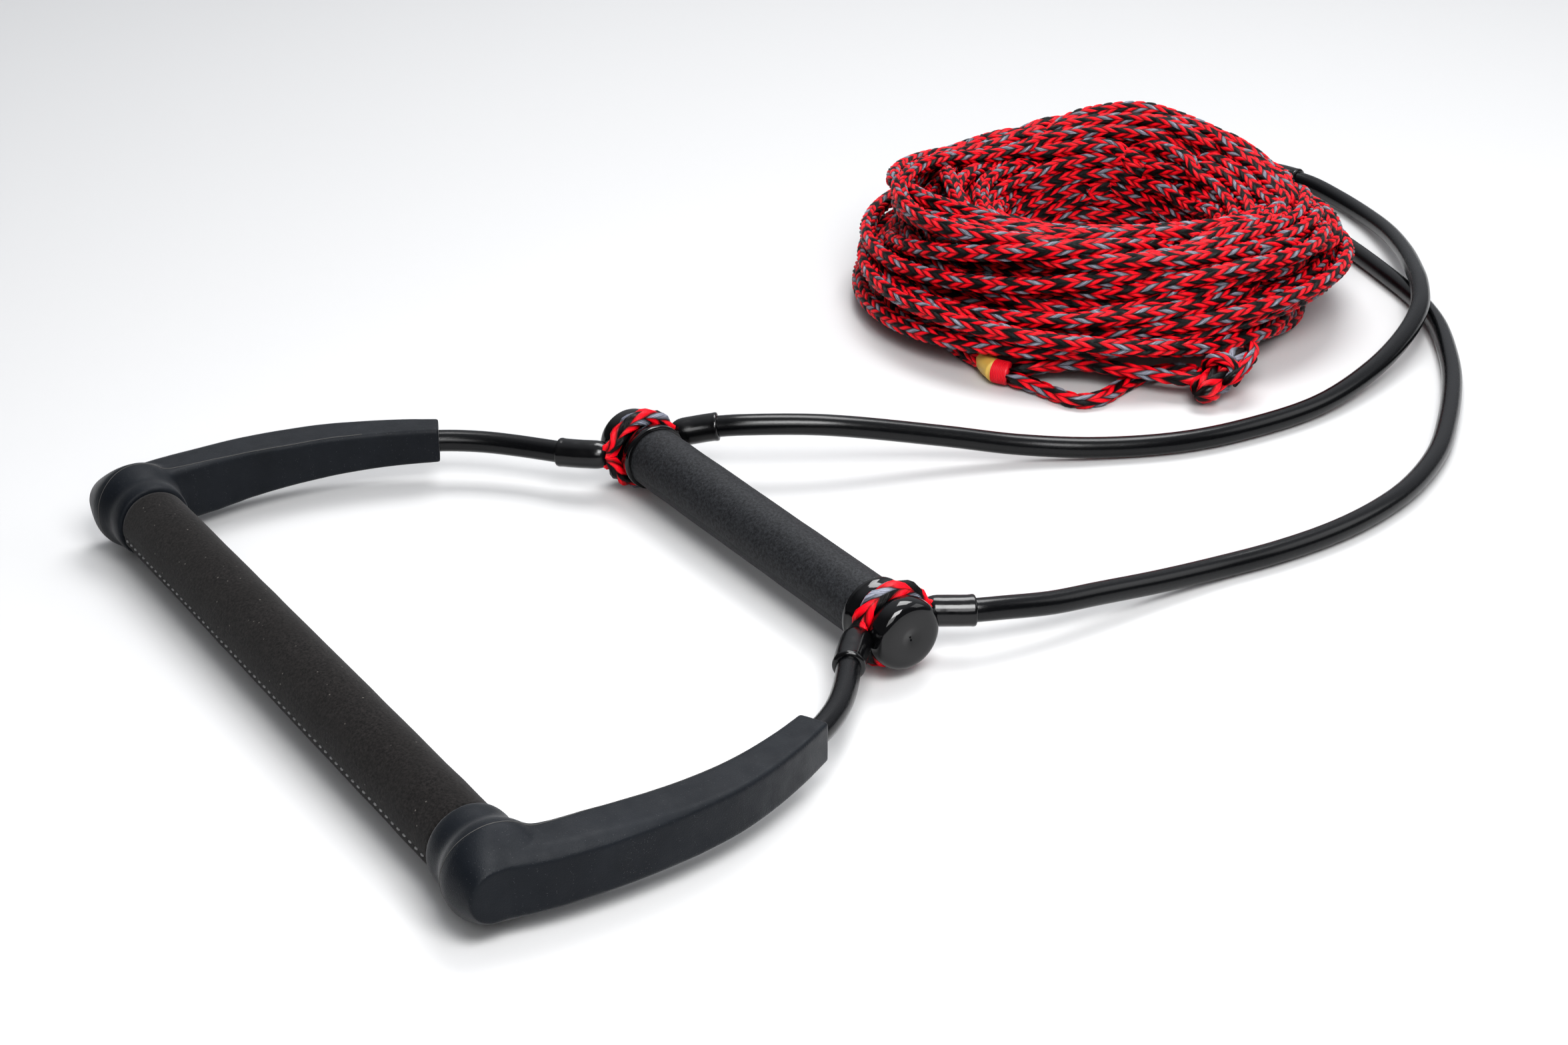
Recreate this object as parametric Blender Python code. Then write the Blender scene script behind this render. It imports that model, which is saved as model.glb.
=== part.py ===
"""Tow rope handle for water sports, as an assembly of its real pieces.

Frame, in metres: +X runs along both bars, +Y from the main bar towards the tow rope, +Z up.
The floor is z = 0. The origin is under the middle of the rigid handle's footprint.
Lengths below are written for a handle lying flat, with the rope line laid out behind it.
"""
import math

import bpy
import bmesh
import numpy as np
from mathutils import Matrix, Vector

GAP = 0.0003                     # clearance between touching pieces

# Placing
MAIN_BAR_Y = -0.11235            # axis of the main bar, from the origin
BAR_SPACING = 0.2036             # main bar axis to second bar axis
BAR_Z = 0.0185                   # both bar axes above the floor
SECOND_BAR_Y = MAIN_BAR_Y + BAR_SPACING

# Main bar
BAR_HALF = 0.150
BAR_OUTER_R = 0.0107
BAR_INNER_R = 0.0092
CORE_OUTER_R = 0.0132
SUEDE_OUTER_R = 0.0140
SUEDE_INNER_R = CORE_OUTER_R + GAP
GRIP_HALF = 0.146
PLUG_LENGTH = 0.012
PLUG_FLANGE = 0.002
PLUG_LEAD_IN = 0.0012            # chamfer where the rope leaves the plug
ROPE_R = 0.0035
ROPE_BORE_R = 0.0039

# Arms
COLLAR_START = 0.1402            # where the collar's lip meets the visible grip
BORE_START = 0.1300              # the bore's cutter starts in the open, before the collar
ROPE_WAY_START = 0.1450          # the rope's way through the corner starts inside the bar's end
ARM_FACE_X = 0.1736              # flat outer end of the corner

# Second bar
SECOND_TUBE_HALF = 0.1005
SECOND_TUBE_OUTER_R = 0.0085
SECOND_TUBE_INNER_R = 0.0072
FOAM_HALF = 0.0818
FOAM_OUTER_R = 0.0130
CAP_END = 0.1078
CAP_BORE_R = SECOND_TUBE_OUTER_R + GAP
GROOVE_X = 0.0925                # middle of the rope groove
GROOVE_R = 0.0101
GROOVE_HALF = 0.0044
GROOVE_DEPTH = 0.0032
EYE_ROPE_R = 0.0038              # rope strand round the cap
EYE_RING_R = GROOVE_R + EYE_ROPE_R + GAP

# Vinyl hoses over the rope, and the sleeves over the hoses' ends
HOSE_R = 0.00475
SOCKET_DEPTH = 0.013
SOCKET_OVERSHOOT = 0.004         # the socket's cutter runs out past the arm's tip
SLEEVE_OUTER_R = 0.0062
SLEEVE_INNER_R = HOSE_R + GAP
SLEEVE_LENGTH = 0.020
SLEEVE_NOSE = 0.005
SLEEVE_NOSE_R = 0.0048
SLEEVE_STOP = 0.0080             # from the nose to where the sleeve's bore widens for the hose
NOSE_FROM_EYE = 0.0062           # from the middle of the eye's strand to the sleeve's nose
HOSE_END = 0.0108                # from the nose to the hose's end inside the sleeve
ROPE_SPLIT = 0.0070              # from the nose to where the eye's tail meets the rope

# Where the hoses bend, as hinge lines along X
HANDLE_HINGE = (0.158, 0.0160)   # (y, z) from the main bar's middle
HARNESS_HINGE = (0.285, 0.0085)

# Rope line
TOW_ROPE_R = 0.0040
LOOP_ROPE_R = 0.0030
COIL_CENTRE = (-0.1646, 0.5121)  # from the main bar's middle
COIL_TURN = math.radians(57.0)   # long axis of the oval, from +X
COIL_HALF_LONG = 0.1265
COIL_HALF_SHORT = 0.1130
COIL_BUNDLE = 0.062              # width of the bundle of turns
COIL_HEIGHT = 0.066
COIL_RISE = 0.004                # how much higher the back is than the middle
WHIPPING_R = 0.0060
LINE_SLEEVE_R = 0.0055

SEGMENTS = 28
TAU = 2.0 * math.pi


def at(x, y, z):
    """A point given from the main bar's middle, moved to the part's frame."""
    return (x, y + MAIN_BAR_Y, z)


# ---------------------------------------------------------------- basic tools

def clear_scene():
    for obj in list(bpy.data.objects):
        bpy.data.objects.remove(obj)


def make_material(name, colour, roughness, metallic=0.0):
    material = bpy.data.materials.new(name)
    material.use_nodes = True
    shader = material.node_tree.nodes["Principled BSDF"]
    shader.inputs["Base Color"].default_value = (*colour, 1.0)
    shader.inputs["Roughness"].default_value = roughness
    shader.inputs["Metallic"].default_value = metallic
    return material


def add_object(name, bm, material, smooth=True):
    """Link a bmesh as one named object, with its faces pointing out."""
    bmesh.ops.recalc_face_normals(bm, faces=bm.faces)
    mesh = bpy.data.meshes.new(name)
    bm.to_mesh(mesh)
    bm.free()
    obj = bpy.data.objects.new(name, mesh)
    bpy.context.scene.collection.objects.link(obj)
    if material is not None:
        mesh.materials.append(material)
    if smooth:
        mesh.shade_smooth()
        mesh.set_sharp_from_angle(angle=math.radians(35))
    return obj


def hide_cutter(obj):
    obj.hide_render = True
    obj.display_type = 'WIRE'
    return obj


def boolean(obj, other, operation):
    modifier = obj.modifiers.new(operation.title(), 'BOOLEAN')
    modifier.operation = operation
    modifier.solver = 'EXACT'
    modifier.object = hide_cutter(other)


def hang_from(axis, objects):
    """Parent objects to an empty on their joint's axis, where they are."""
    for obj in objects:
        obj.parent = axis
        obj.location -= axis.matrix_world.translation


def joint_axis(name, point, parent=None):
    axis = bpy.data.objects.new(name, None)
    bpy.context.scene.collection.objects.link(axis)
    axis.empty_display_size = 0.02
    axis.location = point
    bpy.context.view_layer.update()
    if parent is not None:
        hang_from(parent, [axis])
        bpy.context.view_layer.update()
    return axis


def turned(bm, profile, centre, segments=SEGMENTS):
    """Turn a profile of (x, radius) pairs about a line along X through centre.

    A profile that starts and ends at radius 0 makes a solid. Any other profile is closed
    on itself, which makes a ring or a tube.
    """
    cx, cy, cz = centre
    solid = profile[0][1] == 0.0 and profile[-1][1] == 0.0
    rings = []
    for x, radius in profile:
        if radius == 0.0:
            rings.append([bm.verts.new((cx + x, cy, cz))])
            continue
        ring = []
        for k in range(segments):
            angle = TAU * k / segments
            y = cy + radius * math.cos(angle)
            z = cz + radius * math.sin(angle)
            ring.append(bm.verts.new((cx + x, y, z)))
        rings.append(ring)
    pairs = list(zip(rings, rings[1:]))
    if not solid:
        pairs.append((rings[-1], rings[0]))
    for low, high in pairs:
        join_rings(bm, low, high)


def join_rings(bm, low, high):
    """Faces between two closed rings of vertices; a ring of one vertex is a pole."""
    count = max(len(low), len(high))
    for k in range(count):
        following = (k + 1) % count
        if len(low) == 1:
            bm.faces.new((low[0], high[k], high[following]))
        elif len(high) == 1:
            bm.faces.new((low[k], low[following], high[0]))
        else:
            bm.faces.new((low[k], low[following], high[following], high[k]))


def tube_profile(start, end, outer, inner):
    return [(start, outer), (end, outer), (end, inner), (start, inner)]


# ---------------------------------------------------------------- curves

def smooth_route(points, spacing):
    """An evenly spaced smooth line through hand-chosen points (centripetal Catmull-Rom)."""
    knots = np.array(points, float)
    padded = np.vstack([2 * knots[0] - knots[1], knots, 2 * knots[-1] - knots[-2]])
    dense = []
    for i in range(len(knots) - 1):
        p0, p1, p2, p3 = padded[i:i + 4]
        t1 = np.linalg.norm(p1 - p0) ** 0.5
        t2 = t1 + np.linalg.norm(p2 - p1) ** 0.5
        t3 = t2 + np.linalg.norm(p3 - p2) ** 0.5
        for t in np.linspace(t1, t2, 24, endpoint=False):
            a1 = (t1 - t) / t1 * p0 + t / t1 * p1
            a2 = (t2 - t) / (t2 - t1) * p1 + (t - t1) / (t2 - t1) * p2
            a3 = (t3 - t) / (t3 - t2) * p2 + (t - t2) / (t3 - t2) * p3
            b1 = (t2 - t) / t2 * a1 + t / t2 * a2
            b2 = (t3 - t) / (t3 - t1) * a2 + (t - t1) / (t3 - t1) * a3
            dense.append((t2 - t) / (t2 - t1) * b1 + (t - t1) / (t2 - t1) * b2)
    dense.append(knots[-1])
    dense = np.array(dense)
    length = float(distances(dense)[-1])
    return evenly(dense, 0.0, length, max(3, int(round(length / spacing)) + 1))


def frames_along(line):
    """Two unit vectors across the line at each point: one level, one as near to up as fits."""
    steps = np.diff(line, axis=0)
    steps /= np.linalg.norm(steps, axis=1)[:, None]
    tangents = np.vstack([steps[:1], steps[:-1] + steps[1:], steps[-1:]])
    tangents /= np.linalg.norm(tangents, axis=1)[:, None]
    across = np.cross(tangents, (0.0, 0.0, 1.0))
    across /= np.linalg.norm(across, axis=1)[:, None]
    up = np.cross(across, tangents)
    return across, up


def distances(line):
    return np.concatenate([[0.0], np.cumsum(np.linalg.norm(np.diff(line, axis=0), axis=1))])


def thinned(line, turn, longest):
    """Drop points while the line turns less than an angle and the step stays short."""
    kept = [line[0]]
    for i in range(1, len(line) - 1):
        before = line[i] - kept[-1]
        after = line[i + 1] - line[i]
        reach = np.linalg.norm(line[i + 1] - kept[-1])
        cosine = np.dot(before, after) / (np.linalg.norm(before) * np.linalg.norm(after))
        if cosine < math.cos(turn) or reach > longest:
            kept.append(line[i])
    kept.append(line[-1])
    return np.array(kept)


def distance_to(line, point):
    """How far along the line its nearest place to the point is."""
    length = float(distances(line)[-1])
    places = evenly(line, 0.0, length, 2000)
    nearest = int(np.argmin(np.linalg.norm(places - np.array(point), axis=1)))
    return length * nearest / (len(places) - 1)


def stretch(line, start, end):
    """The part of a line between two distances along it, with the line's own points."""
    along = distances(line)
    inner = along[(along > start + 0.0008) & (along < end - 0.0008)]
    wanted = np.concatenate([[start], inner, [end]])
    return np.stack([np.interp(wanted, along, line[:, k]) for k in range(3)], axis=1)


def evenly(line, start, end, count):
    along = distances(line)
    wanted = np.linspace(start, end, count)
    return np.stack([np.interp(wanted, along, line[:, k]) for k in range(3)], axis=1)


def sweep(bm, line, outline_at, closed_ends=True):
    """Carry an outline of (across, up) pairs along a line. Returns its rings."""
    across, up = frames_along(line)
    rings = []
    for i, point in enumerate(line):
        ring = []
        for a, b in outline_at(i / (len(line) - 1)):
            ring.append(bm.verts.new(point + a * across[i] + b * up[i]))
        rings.append(ring)
    for low, high in zip(rings, rings[1:]):
        join_rings(bm, low, high)
    if closed_ends:
        bm.faces.new(rings[0])
        bm.faces.new(rings[-1])
    return rings


def circle_outline(radius, sides):
    return [(radius * math.cos(TAU * k / sides), radius * math.sin(TAU * k / sides)) for k in range(sides)]


def swept_rod(name, line, radius, material, sides=12):
    bm = bmesh.new()
    sweep(bm, line, lambda t: circle_outline(radius, sides))
    return add_object(name, bm, material)


def swept_hose(name, line, outer, inner, material, sides=12):
    bm = bmesh.new()
    outside = sweep(bm, line, lambda t: circle_outline(outer, sides), closed_ends=False)
    inside = sweep(bm, line, lambda t: circle_outline(inner, sides), closed_ends=False)
    join_rings(bm, outside[0], inside[0])
    join_rings(bm, outside[-1], inside[-1])
    return add_object(name, bm, material)


def cord_curve(name, line, radius, material, resolution=2):
    """A free cord: a poly curve with a round bevel and filled caps."""
    curve = bpy.data.curves.new(name, 'CURVE')
    curve.dimensions = '3D'
    curve.bevel_depth = radius
    curve.bevel_resolution = resolution
    curve.use_fill_caps = True
    spline = curve.splines.new('POLY')
    spline.points.add(len(line) - 1)
    for point, place in zip(spline.points, line):
        point.co = (*place, 1.0)
    curve.materials.append(material)
    obj = bpy.data.objects.new(name, curve)
    bpy.context.scene.collection.objects.link(obj)
    return obj


# ---------------------------------------------------------------- main handle

MAIN_AXIS = (0.0, MAIN_BAR_Y, BAR_Z)


def main_bar(materials):
    bm = bmesh.new()
    turned(bm, tube_profile(-BAR_HALF, BAR_HALF, BAR_OUTER_R, BAR_INNER_R), MAIN_AXIS)
    tube = add_object("main_bar_tube", bm, materials["aluminium"])
    bm = bmesh.new()
    turned(bm, tube_profile(-GRIP_HALF, GRIP_HALF, CORE_OUTER_R, BAR_OUTER_R + GAP), MAIN_AXIS)
    core = add_object("main_grip_core", bm, materials["foam"])
    bm = bmesh.new()
    turned(bm, tube_profile(-GRIP_HALF, GRIP_HALF, SUEDE_OUTER_R, SUEDE_INNER_R), MAIN_AXIS)
    suede = add_object("main_grip_suede", bm, materials["suede"])
    return [tube, core, suede]


def bar_plug(side, name, materials):
    """Nylon plug in the bar's end, which guides the rope round the corner."""
    body = BAR_INNER_R - GAP
    face = BAR_HALF + GAP
    end = face + PLUG_FLANGE
    profile = [
        (BAR_HALF - PLUG_LENGTH, body),
        (face, body),
        (face, BAR_OUTER_R),
        (end, BAR_OUTER_R),
        (end, ROPE_BORE_R + PLUG_LEAD_IN),
        (end - PLUG_LEAD_IN, ROPE_BORE_R),
        (BAR_HALF - PLUG_LENGTH, ROPE_BORE_R),
    ]
    bm = bmesh.new()
    turned(bm, [(side * x, r) for x, r in profile], MAIN_AXIS, 20)
    return add_object(name, bm, materials["nylon"])


ARM_ROUTE = [  # centre of the arm's section, from the main bar's middle, for the +X arm
    (0.1632, -0.0020, 0.0183),
    (0.1668, 0.0150, 0.0183),
    (0.1685, 0.0330, 0.0184),
    (0.1690, 0.0520, 0.0188),
    (0.1675, 0.0720, 0.0189),
    (0.1651, 0.0870, 0.0190),
    (0.1603, 0.1034, 0.0191),
    (0.1543, 0.1185, 0.0191),
    (0.1474, 0.1328, 0.0190),
]
ARM_HALF_WIDTHS = (0.0101, 0.0103, 0.0101, 0.0097, 0.0094, 0.0089, 0.0081, 0.0072, 0.0063)
ARM_HALF_HEIGHTS = (0.0132, 0.0127, 0.0120, 0.0110, 0.0100, 0.0094, 0.0088, 0.0084, 0.0081)
ARM_FACE_HALF_HEIGHTS = (0.0096, 0.0090, 0.0086, 0.0086, 0.0086, 0.0083, 0.0079, 0.0076, 0.0074)
ARM_CHAMFER = 0.0024

ROPE_ROUTE = [  # the rope from the bar's middle, round the corner and through the arm to its eye
    (0.0000, 0.0000, 0.0185),
    (0.1300, 0.0000, 0.0185),
    (0.1510, 0.0000, 0.0185),
    (0.1570, 0.0012, 0.0184),
    (0.1622, 0.0050, 0.0182),
    (0.1652, 0.0110, 0.0180),
    *ARM_ROUTE[2:],
    (0.1420, 0.1420, 0.0187),
    (0.1350, 0.1512, 0.0183),
    (0.1261, 0.1602, 0.0179),
    (0.1168, 0.1681, 0.0177),
    (0.1108, 0.1728, 0.0177),
    (0.1050, 0.1780, 0.0179),
    (0.0968, 0.1862, 0.0184),
    (0.0930, 0.1893, 0.0185),
]


def mirrored(route, side):
    return [at(side * x, y, z) for x, y, z in route]


def rope_line_of(side):
    """The rope's centre line on one side, fine in the bends and coarse in the straights."""
    return thinned(smooth_route(mirrored(ROPE_ROUTE, side), 0.003), math.radians(6.0), 0.016)


def tip_distance(side, line):
    """How far along the rope the arm's tip is."""
    return distance_to(line, mirrored(ARM_ROUTE, side)[-1])


def arm_outline(t):
    """The arm's section: chamfered edges inside, and a top and bottom that slope to a lower outer face."""
    places = np.linspace(0.0, 1.0, len(ARM_HALF_WIDTHS))
    width = float(np.interp(t, places, ARM_HALF_WIDTHS))
    height = float(np.interp(t, places, ARM_HALF_HEIGHTS))
    face = float(np.interp(t, places, ARM_FACE_HALF_HEIGHTS))
    chamfer = ARM_CHAMFER * width / ARM_HALF_WIDTHS[0]
    slope = min(1.5 * (height - face), 0.6 * width)
    return [
        (width, -face),
        (width, face),
        (width - slope, height),
        (-width + chamfer, height),
        (-width, height - chamfer),
        (-width, -height + chamfer),
        (-width + chamfer, -height),
        (width - slope, -height),
    ]


CORNER_PROFILE = [  # (x, radius) of the moulded corner round the bar's end
    (COLLAR_START, 0.0),
    (COLLAR_START, 0.0150),
    (0.1422, 0.0156),
    (0.1450, 0.0158),
    (0.1500, 0.0156),
    (0.1524, 0.0163),
    (0.1550, 0.0175),
    (0.1578, 0.0182),
    (0.1605, 0.0184),
    (0.1640, 0.0174),
    (0.1675, 0.0151),
    (0.1708, 0.0124),
    (ARM_FACE_X, 0.0097),
    (ARM_FACE_X, 0.0),
]


def arm(side, name, materials):
    """Moulded rubber corner and arm, with its bore for the bar and its way for the rope."""
    bm = bmesh.new()
    turned(bm, [(side * x, r) for x, r in CORNER_PROFILE], MAIN_AXIS, 26)
    body = add_object(name, bm, materials["rubber"])

    bm = bmesh.new()
    sweep(bm, smooth_route(mirrored(ARM_ROUTE, side), 0.012), arm_outline)
    boolean(body, add_object(name + "_box", bm, None), 'UNION')

    bore = [
        (BORE_START, 0.0),
        (BORE_START, SUEDE_OUTER_R + GAP),
        (GRIP_HALF + GAP, SUEDE_OUTER_R + GAP),
        (GRIP_HALF + GAP, BAR_OUTER_R + GAP),
        (BAR_HALF + PLUG_FLANGE + 2 * GAP, BAR_OUTER_R + GAP),
        (BAR_HALF + PLUG_FLANGE + 2 * GAP, 0.0),
    ]
    bm = bmesh.new()
    turned(bm, [(side * x, r) for x, r in bore], MAIN_AXIS, SEGMENTS)
    boolean(body, add_object(name + "_bore", bm, None), 'DIFFERENCE')

    line = rope_line_of(side)
    tip = tip_distance(side, line)
    way = stretch(line, ROPE_WAY_START, tip)
    boolean(body, swept_rod(name + "_way", way, ROPE_BORE_R, None, 8), 'DIFFERENCE')
    socket = stretch(line, tip - SOCKET_DEPTH - GAP, tip + SOCKET_OVERSHOOT)
    boolean(body, swept_rod(name + "_socket", socket, HOSE_R + GAP, None, 12), 'DIFFERENCE')
    return body


def arm_hose(side, name, materials):
    line = rope_line_of(side)
    start = tip_distance(side, line) - SOCKET_DEPTH
    end = float(distances(line)[-1]) - NOSE_FROM_EYE - HOSE_END
    return swept_hose(name, stretch(line, start, end), HOSE_R, ROPE_BORE_R, materials["vinyl"])


def handle_rope(materials):
    """The rope from sleeve to sleeve, through both arms and the bar."""
    end = float(distances(rope_line_of(1))[-1]) - NOSE_FROM_EYE - ROPE_SPLIT - GAP
    halves = [stretch(rope_line_of(side), 0.0, end) for side in (-1, 1)]
    line = np.vstack([halves[0][::-1], halves[1][1:]])
    return swept_rod("handle_rope", line, ROPE_R, materials["rope"], 8)


# ---------------------------------------------------------------- second bar and its harness

SECOND_AXIS = (0.0, SECOND_BAR_Y, BAR_Z)


def second_bar(materials):
    bm = bmesh.new()
    profile = tube_profile(-SECOND_TUBE_HALF, SECOND_TUBE_HALF, SECOND_TUBE_OUTER_R, SECOND_TUBE_INNER_R)
    turned(bm, profile, (0.0, 0.0, 0.0))
    tube = add_object("second_bar_tube", bm, materials["aluminium"])
    tube.location = SECOND_AXIS
    bm = bmesh.new()
    half = FOAM_HALF - GAP
    turned(bm, tube_profile(-half, half, FOAM_OUTER_R, SECOND_TUBE_OUTER_R + GAP), (0.0, 0.0, 0.0))
    foam = add_object("second_grip_foam", bm, materials["foam"])
    foam.location = SECOND_AXIS
    return [tube, foam]


def end_cap(side, name, materials):
    """Glossy cap: a flange against the foam, the rope's groove, and a domed head with a dimple."""
    groove = []
    for k in range(5):
        angle = math.pi * (k / 4.0)
        x = GROOVE_X - GROOVE_HALF * math.cos(angle)
        groove.append((x, GROOVE_R + GROOVE_DEPTH * (1.0 - math.sin(angle))))
    profile = [
        (FOAM_HALF, CAP_BORE_R),
        (FOAM_HALF, 0.0141),
        (FOAM_HALF + 0.0006, 0.0145),
        (FOAM_HALF + 0.0020, 0.0145),
        (FOAM_HALF + 0.0052, 0.0140),
        *groove,
        (0.0983, 0.0141),
        (0.1002, 0.0145),
        (0.1040, 0.0145),
        (0.1062, 0.0136),
        (0.1073, 0.0121),
        (CAP_END, 0.0098),
        (CAP_END, 0.0020),
        (CAP_END - 0.0006, 0.0012),
        (CAP_END - 0.0012, 0.0),
        (SECOND_TUBE_HALF + GAP, 0.0),
        (SECOND_TUBE_HALF + GAP, CAP_BORE_R),
    ]
    bm = bmesh.new()
    outline = [(side * x, r) for x, r in profile]
    split = next(i for i, (x, r) in enumerate(outline) if r == 0.0)
    outline = outline[split + 1:] + outline[:split + 1]
    turned(bm, outline, (0.0, 0.0, 0.0), 24)
    cap = add_object(name, bm, materials["gloss"])
    cap.location = SECOND_AXIS
    return cap


def rope_eye(side, name, materials):
    """The braid opened into an eye: one strand over and one under the groove, with a tail each way."""
    bm = bmesh.new()
    centre = (side * GROOVE_X, SECOND_BAR_Y, BAR_Z)
    rings = []
    steps = 28
    for i in range(steps):
        angle = TAU * i / steps
        ring = []
        for a, b in circle_outline(EYE_ROPE_R, 8):
            radius = EYE_RING_R + b
            y = centre[1] + radius * math.cos(angle)
            z = centre[2] + radius * math.sin(angle)
            ring.append(bm.verts.new((centre[0] + a, y, z)))
        rings.append(ring)
    for i in range(steps):
        join_rings(bm, rings[i], rings[(i + 1) % steps])
    eye = add_object(name, bm, materials["rope"])

    line = rope_line_of(side)
    end = float(distances(line)[-1])
    front = stretch(line, end - NOSE_FROM_EYE - ROPE_SPLIT, end)
    boolean(eye, swept_rod(name + "_front", front, ROPE_R, None, 8), 'UNION')
    back = stretch(leg_line(side), 0.0, NOSE_FROM_EYE + ROPE_SPLIT)
    boolean(eye, swept_rod(name + "_back", back, ROPE_R, None, 8), 'UNION')
    return eye


def sleeve(name, line, start, end, materials):
    """A vinyl sleeve over a hose's end, from start to its rounded nose at end."""
    places = evenly(line, start, end, 9)
    length = abs(end - start)
    sides = 12

    def outside(t):
        left = (1.0 - t) * length
        if left >= SLEEVE_NOSE:
            return circle_outline(SLEEVE_OUTER_R, sides)
        shrink = math.sqrt(max(0.0, 1.0 - (1.0 - left / SLEEVE_NOSE) ** 2))
        return circle_outline(SLEEVE_NOSE_R + (SLEEVE_OUTER_R - SLEEVE_NOSE_R) * shrink, sides)

    def inside(t):
        left = (1.0 - t) * length
        return circle_outline(SLEEVE_INNER_R if left > SLEEVE_STOP else ROPE_BORE_R, sides)

    bm = bmesh.new()
    outer = sweep(bm, places, outside, closed_ends=False)
    inner = sweep(bm, places, inside, closed_ends=False)
    join_rings(bm, outer[0], inner[0])
    join_rings(bm, outer[-1], inner[-1])
    return add_object(name, bm, materials["vinyl"])


def arm_sleeve(side, name, materials):
    line = rope_line_of(side)
    nose = float(distances(line)[-1]) - NOSE_FROM_EYE
    return sleeve(name, line, nose - SLEEVE_LENGTH, nose, materials)


# ---------------------------------------------------------------- rope line

# Each leg's line, from its eye on the second bar to the knot on the tow rope
LEFT_LEG_ROUTE = [
    (-0.0928, 0.2180, 0.0196),
    (-0.0928, 0.2236, 0.0214),
    (-0.0908, 0.2275, 0.0221),
    (-0.0880, 0.2320, 0.0231),
    (-0.0838, 0.2378, 0.0242),
    (-0.0780, 0.2450, 0.0252),
    (-0.0600, 0.2755, 0.0245),
    (-0.0394, 0.3244, 0.0150),
    (-0.0245, 0.3560, 0.0085),
    (-0.0076, 0.3876, 0.0056),
    (0.0075, 0.4240, 0.0052),
    (0.0129, 0.4613, 0.0052),
    (0.0115, 0.5030, 0.0056),
    (0.0000, 0.5470, 0.0085),
    (-0.0159, 0.5834, 0.0122),
    (-0.0328, 0.6096, 0.0150),
    (-0.0536, 0.6303, 0.0158),
    (-0.0725, 0.6457, 0.0144),
    (-0.0991, 0.6655, 0.0116),
    (-0.1309, 0.6847, 0.0086),
    (-0.1611, 0.6974, 0.0064),
    (-0.1881, 0.7042, 0.0060),
    (-0.2110, 0.7063, 0.0067),
    (-0.2260, 0.7045, 0.0067),
    (-0.2370, 0.7010, 0.0067),
    (-0.2450, 0.6965, 0.0068),
    (-0.2510, 0.6925, 0.0072),
    (-0.2565, 0.6885, 0.0078),
]
RIGHT_LEG_ROUTE = [
    (0.0928, 0.2180, 0.0185),
    (0.0940, 0.2232, 0.0182),
    (0.0965, 0.2285, 0.0179),
    (0.0992, 0.2330, 0.0178),
    (0.1020, 0.2382, 0.0178),
    (0.1045, 0.2480, 0.0170),
    (0.1078, 0.2700, 0.0142),
    (0.1084, 0.2931, 0.0118),
    (0.1082, 0.3240, 0.0080),
    (0.1087, 0.3548, 0.0056),
    (0.1110, 0.3860, 0.0052),
    (0.1105, 0.4172, 0.0052),
    (0.1060, 0.4460, 0.0052),
    (0.0972, 0.4745, 0.0052),
    (0.0800, 0.5080, 0.0052),
    (0.0573, 0.5384, 0.0052),
    (0.0232, 0.5763, 0.0052),
    (-0.0012, 0.5981, 0.0052),
    (-0.0282, 0.6186, 0.0052),
    (-0.0502, 0.6308, 0.0052),
    (-0.0687, 0.6385, 0.0052),
    (-0.0907, 0.6458, 0.0052),
    (-0.1125, 0.6525, 0.0052),
    (-0.1400, 0.6600, 0.0052),
    (-0.1750, 0.6672, 0.0056),
    (-0.1950, 0.6702, 0.0064),
    (-0.2120, 0.6726, 0.0067),
    (-0.2260, 0.6750, 0.0067),
    (-0.2370, 0.6780, 0.0067),
    (-0.2460, 0.6820, 0.0070),
    (-0.2545, 0.6870, 0.0078),
]
JUNCTION = (-0.2575, 0.6880, 0.0080)     # where both legs tie to the tow rope
JUNCTION_R = 0.0090
JUNCTION_TAIL = 0.0195                   # from the knot's middle to the end sleeves' noses
LEAD_ROUTE = [  # tow rope, from the knot to the coil's outer turn
    (-0.2680, 0.6815, 0.0060),
    (-0.2740, 0.6690, 0.0046),
    (-0.2775, 0.6450, 0.0045),
    (-0.2795, 0.6150, 0.0050),
    (-0.2800, 0.5870, 0.0066),
    (-0.2785, 0.5680, 0.0090),
    (-0.2757, 0.5520, 0.0120),
]
BOAT_LOOP_ROUTE = [  # thin spliced eye at the boat's end, from its whipping and back to it
    (-0.0869, 0.4039, 0.0048),
    (-0.0800, 0.4078, 0.0040),
    (-0.0660, 0.4110, 0.0034),
    (-0.0540, 0.4190, 0.0033),
    (-0.0500, 0.4320, 0.0034),
    (-0.0500, 0.4470, 0.0036),
    (-0.0460, 0.4600, 0.0038),
    (-0.0400, 0.4690, 0.0046),
    (-0.0390, 0.4730, 0.0072),
    (-0.0430, 0.4720, 0.0098),
    (-0.0510, 0.4630, 0.0102),
    (-0.0620, 0.4500, 0.0096),
    (-0.0720, 0.4370, 0.0090),
    (-0.0818, 0.4225, 0.0084),
    (-0.0905, 0.4085, 0.0080),
]
WHIPPING_ROUTE = [
    (-0.0985, 0.3980, 0.0064),
    (-0.0935, 0.4018, 0.0064),
    (-0.0897, 0.4052, 0.0064),
]
LINE_SLEEVE_ROUTE = [
    (-0.1180, 0.3870, 0.0058),
    (-0.1080, 0.3918, 0.0058),
    (-0.0992, 0.3974, 0.0062),
]
KNOT_ROUTE = [
    (-0.0235, 0.4590, 0.0080),
    (-0.0270, 0.4700, 0.0088),
    (-0.0320, 0.4830, 0.0105),
    (-0.0360, 0.4960, 0.0135),
]
KNOT_R = 0.0070


def leg_route(side):
    return [at(*p) for p in (LEFT_LEG_ROUTE if side < 0 else RIGHT_LEG_ROUTE)]


def leg_line(side):
    return thinned(smooth_route(leg_route(side), 0.003), math.radians(6.0), 0.024)


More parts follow.
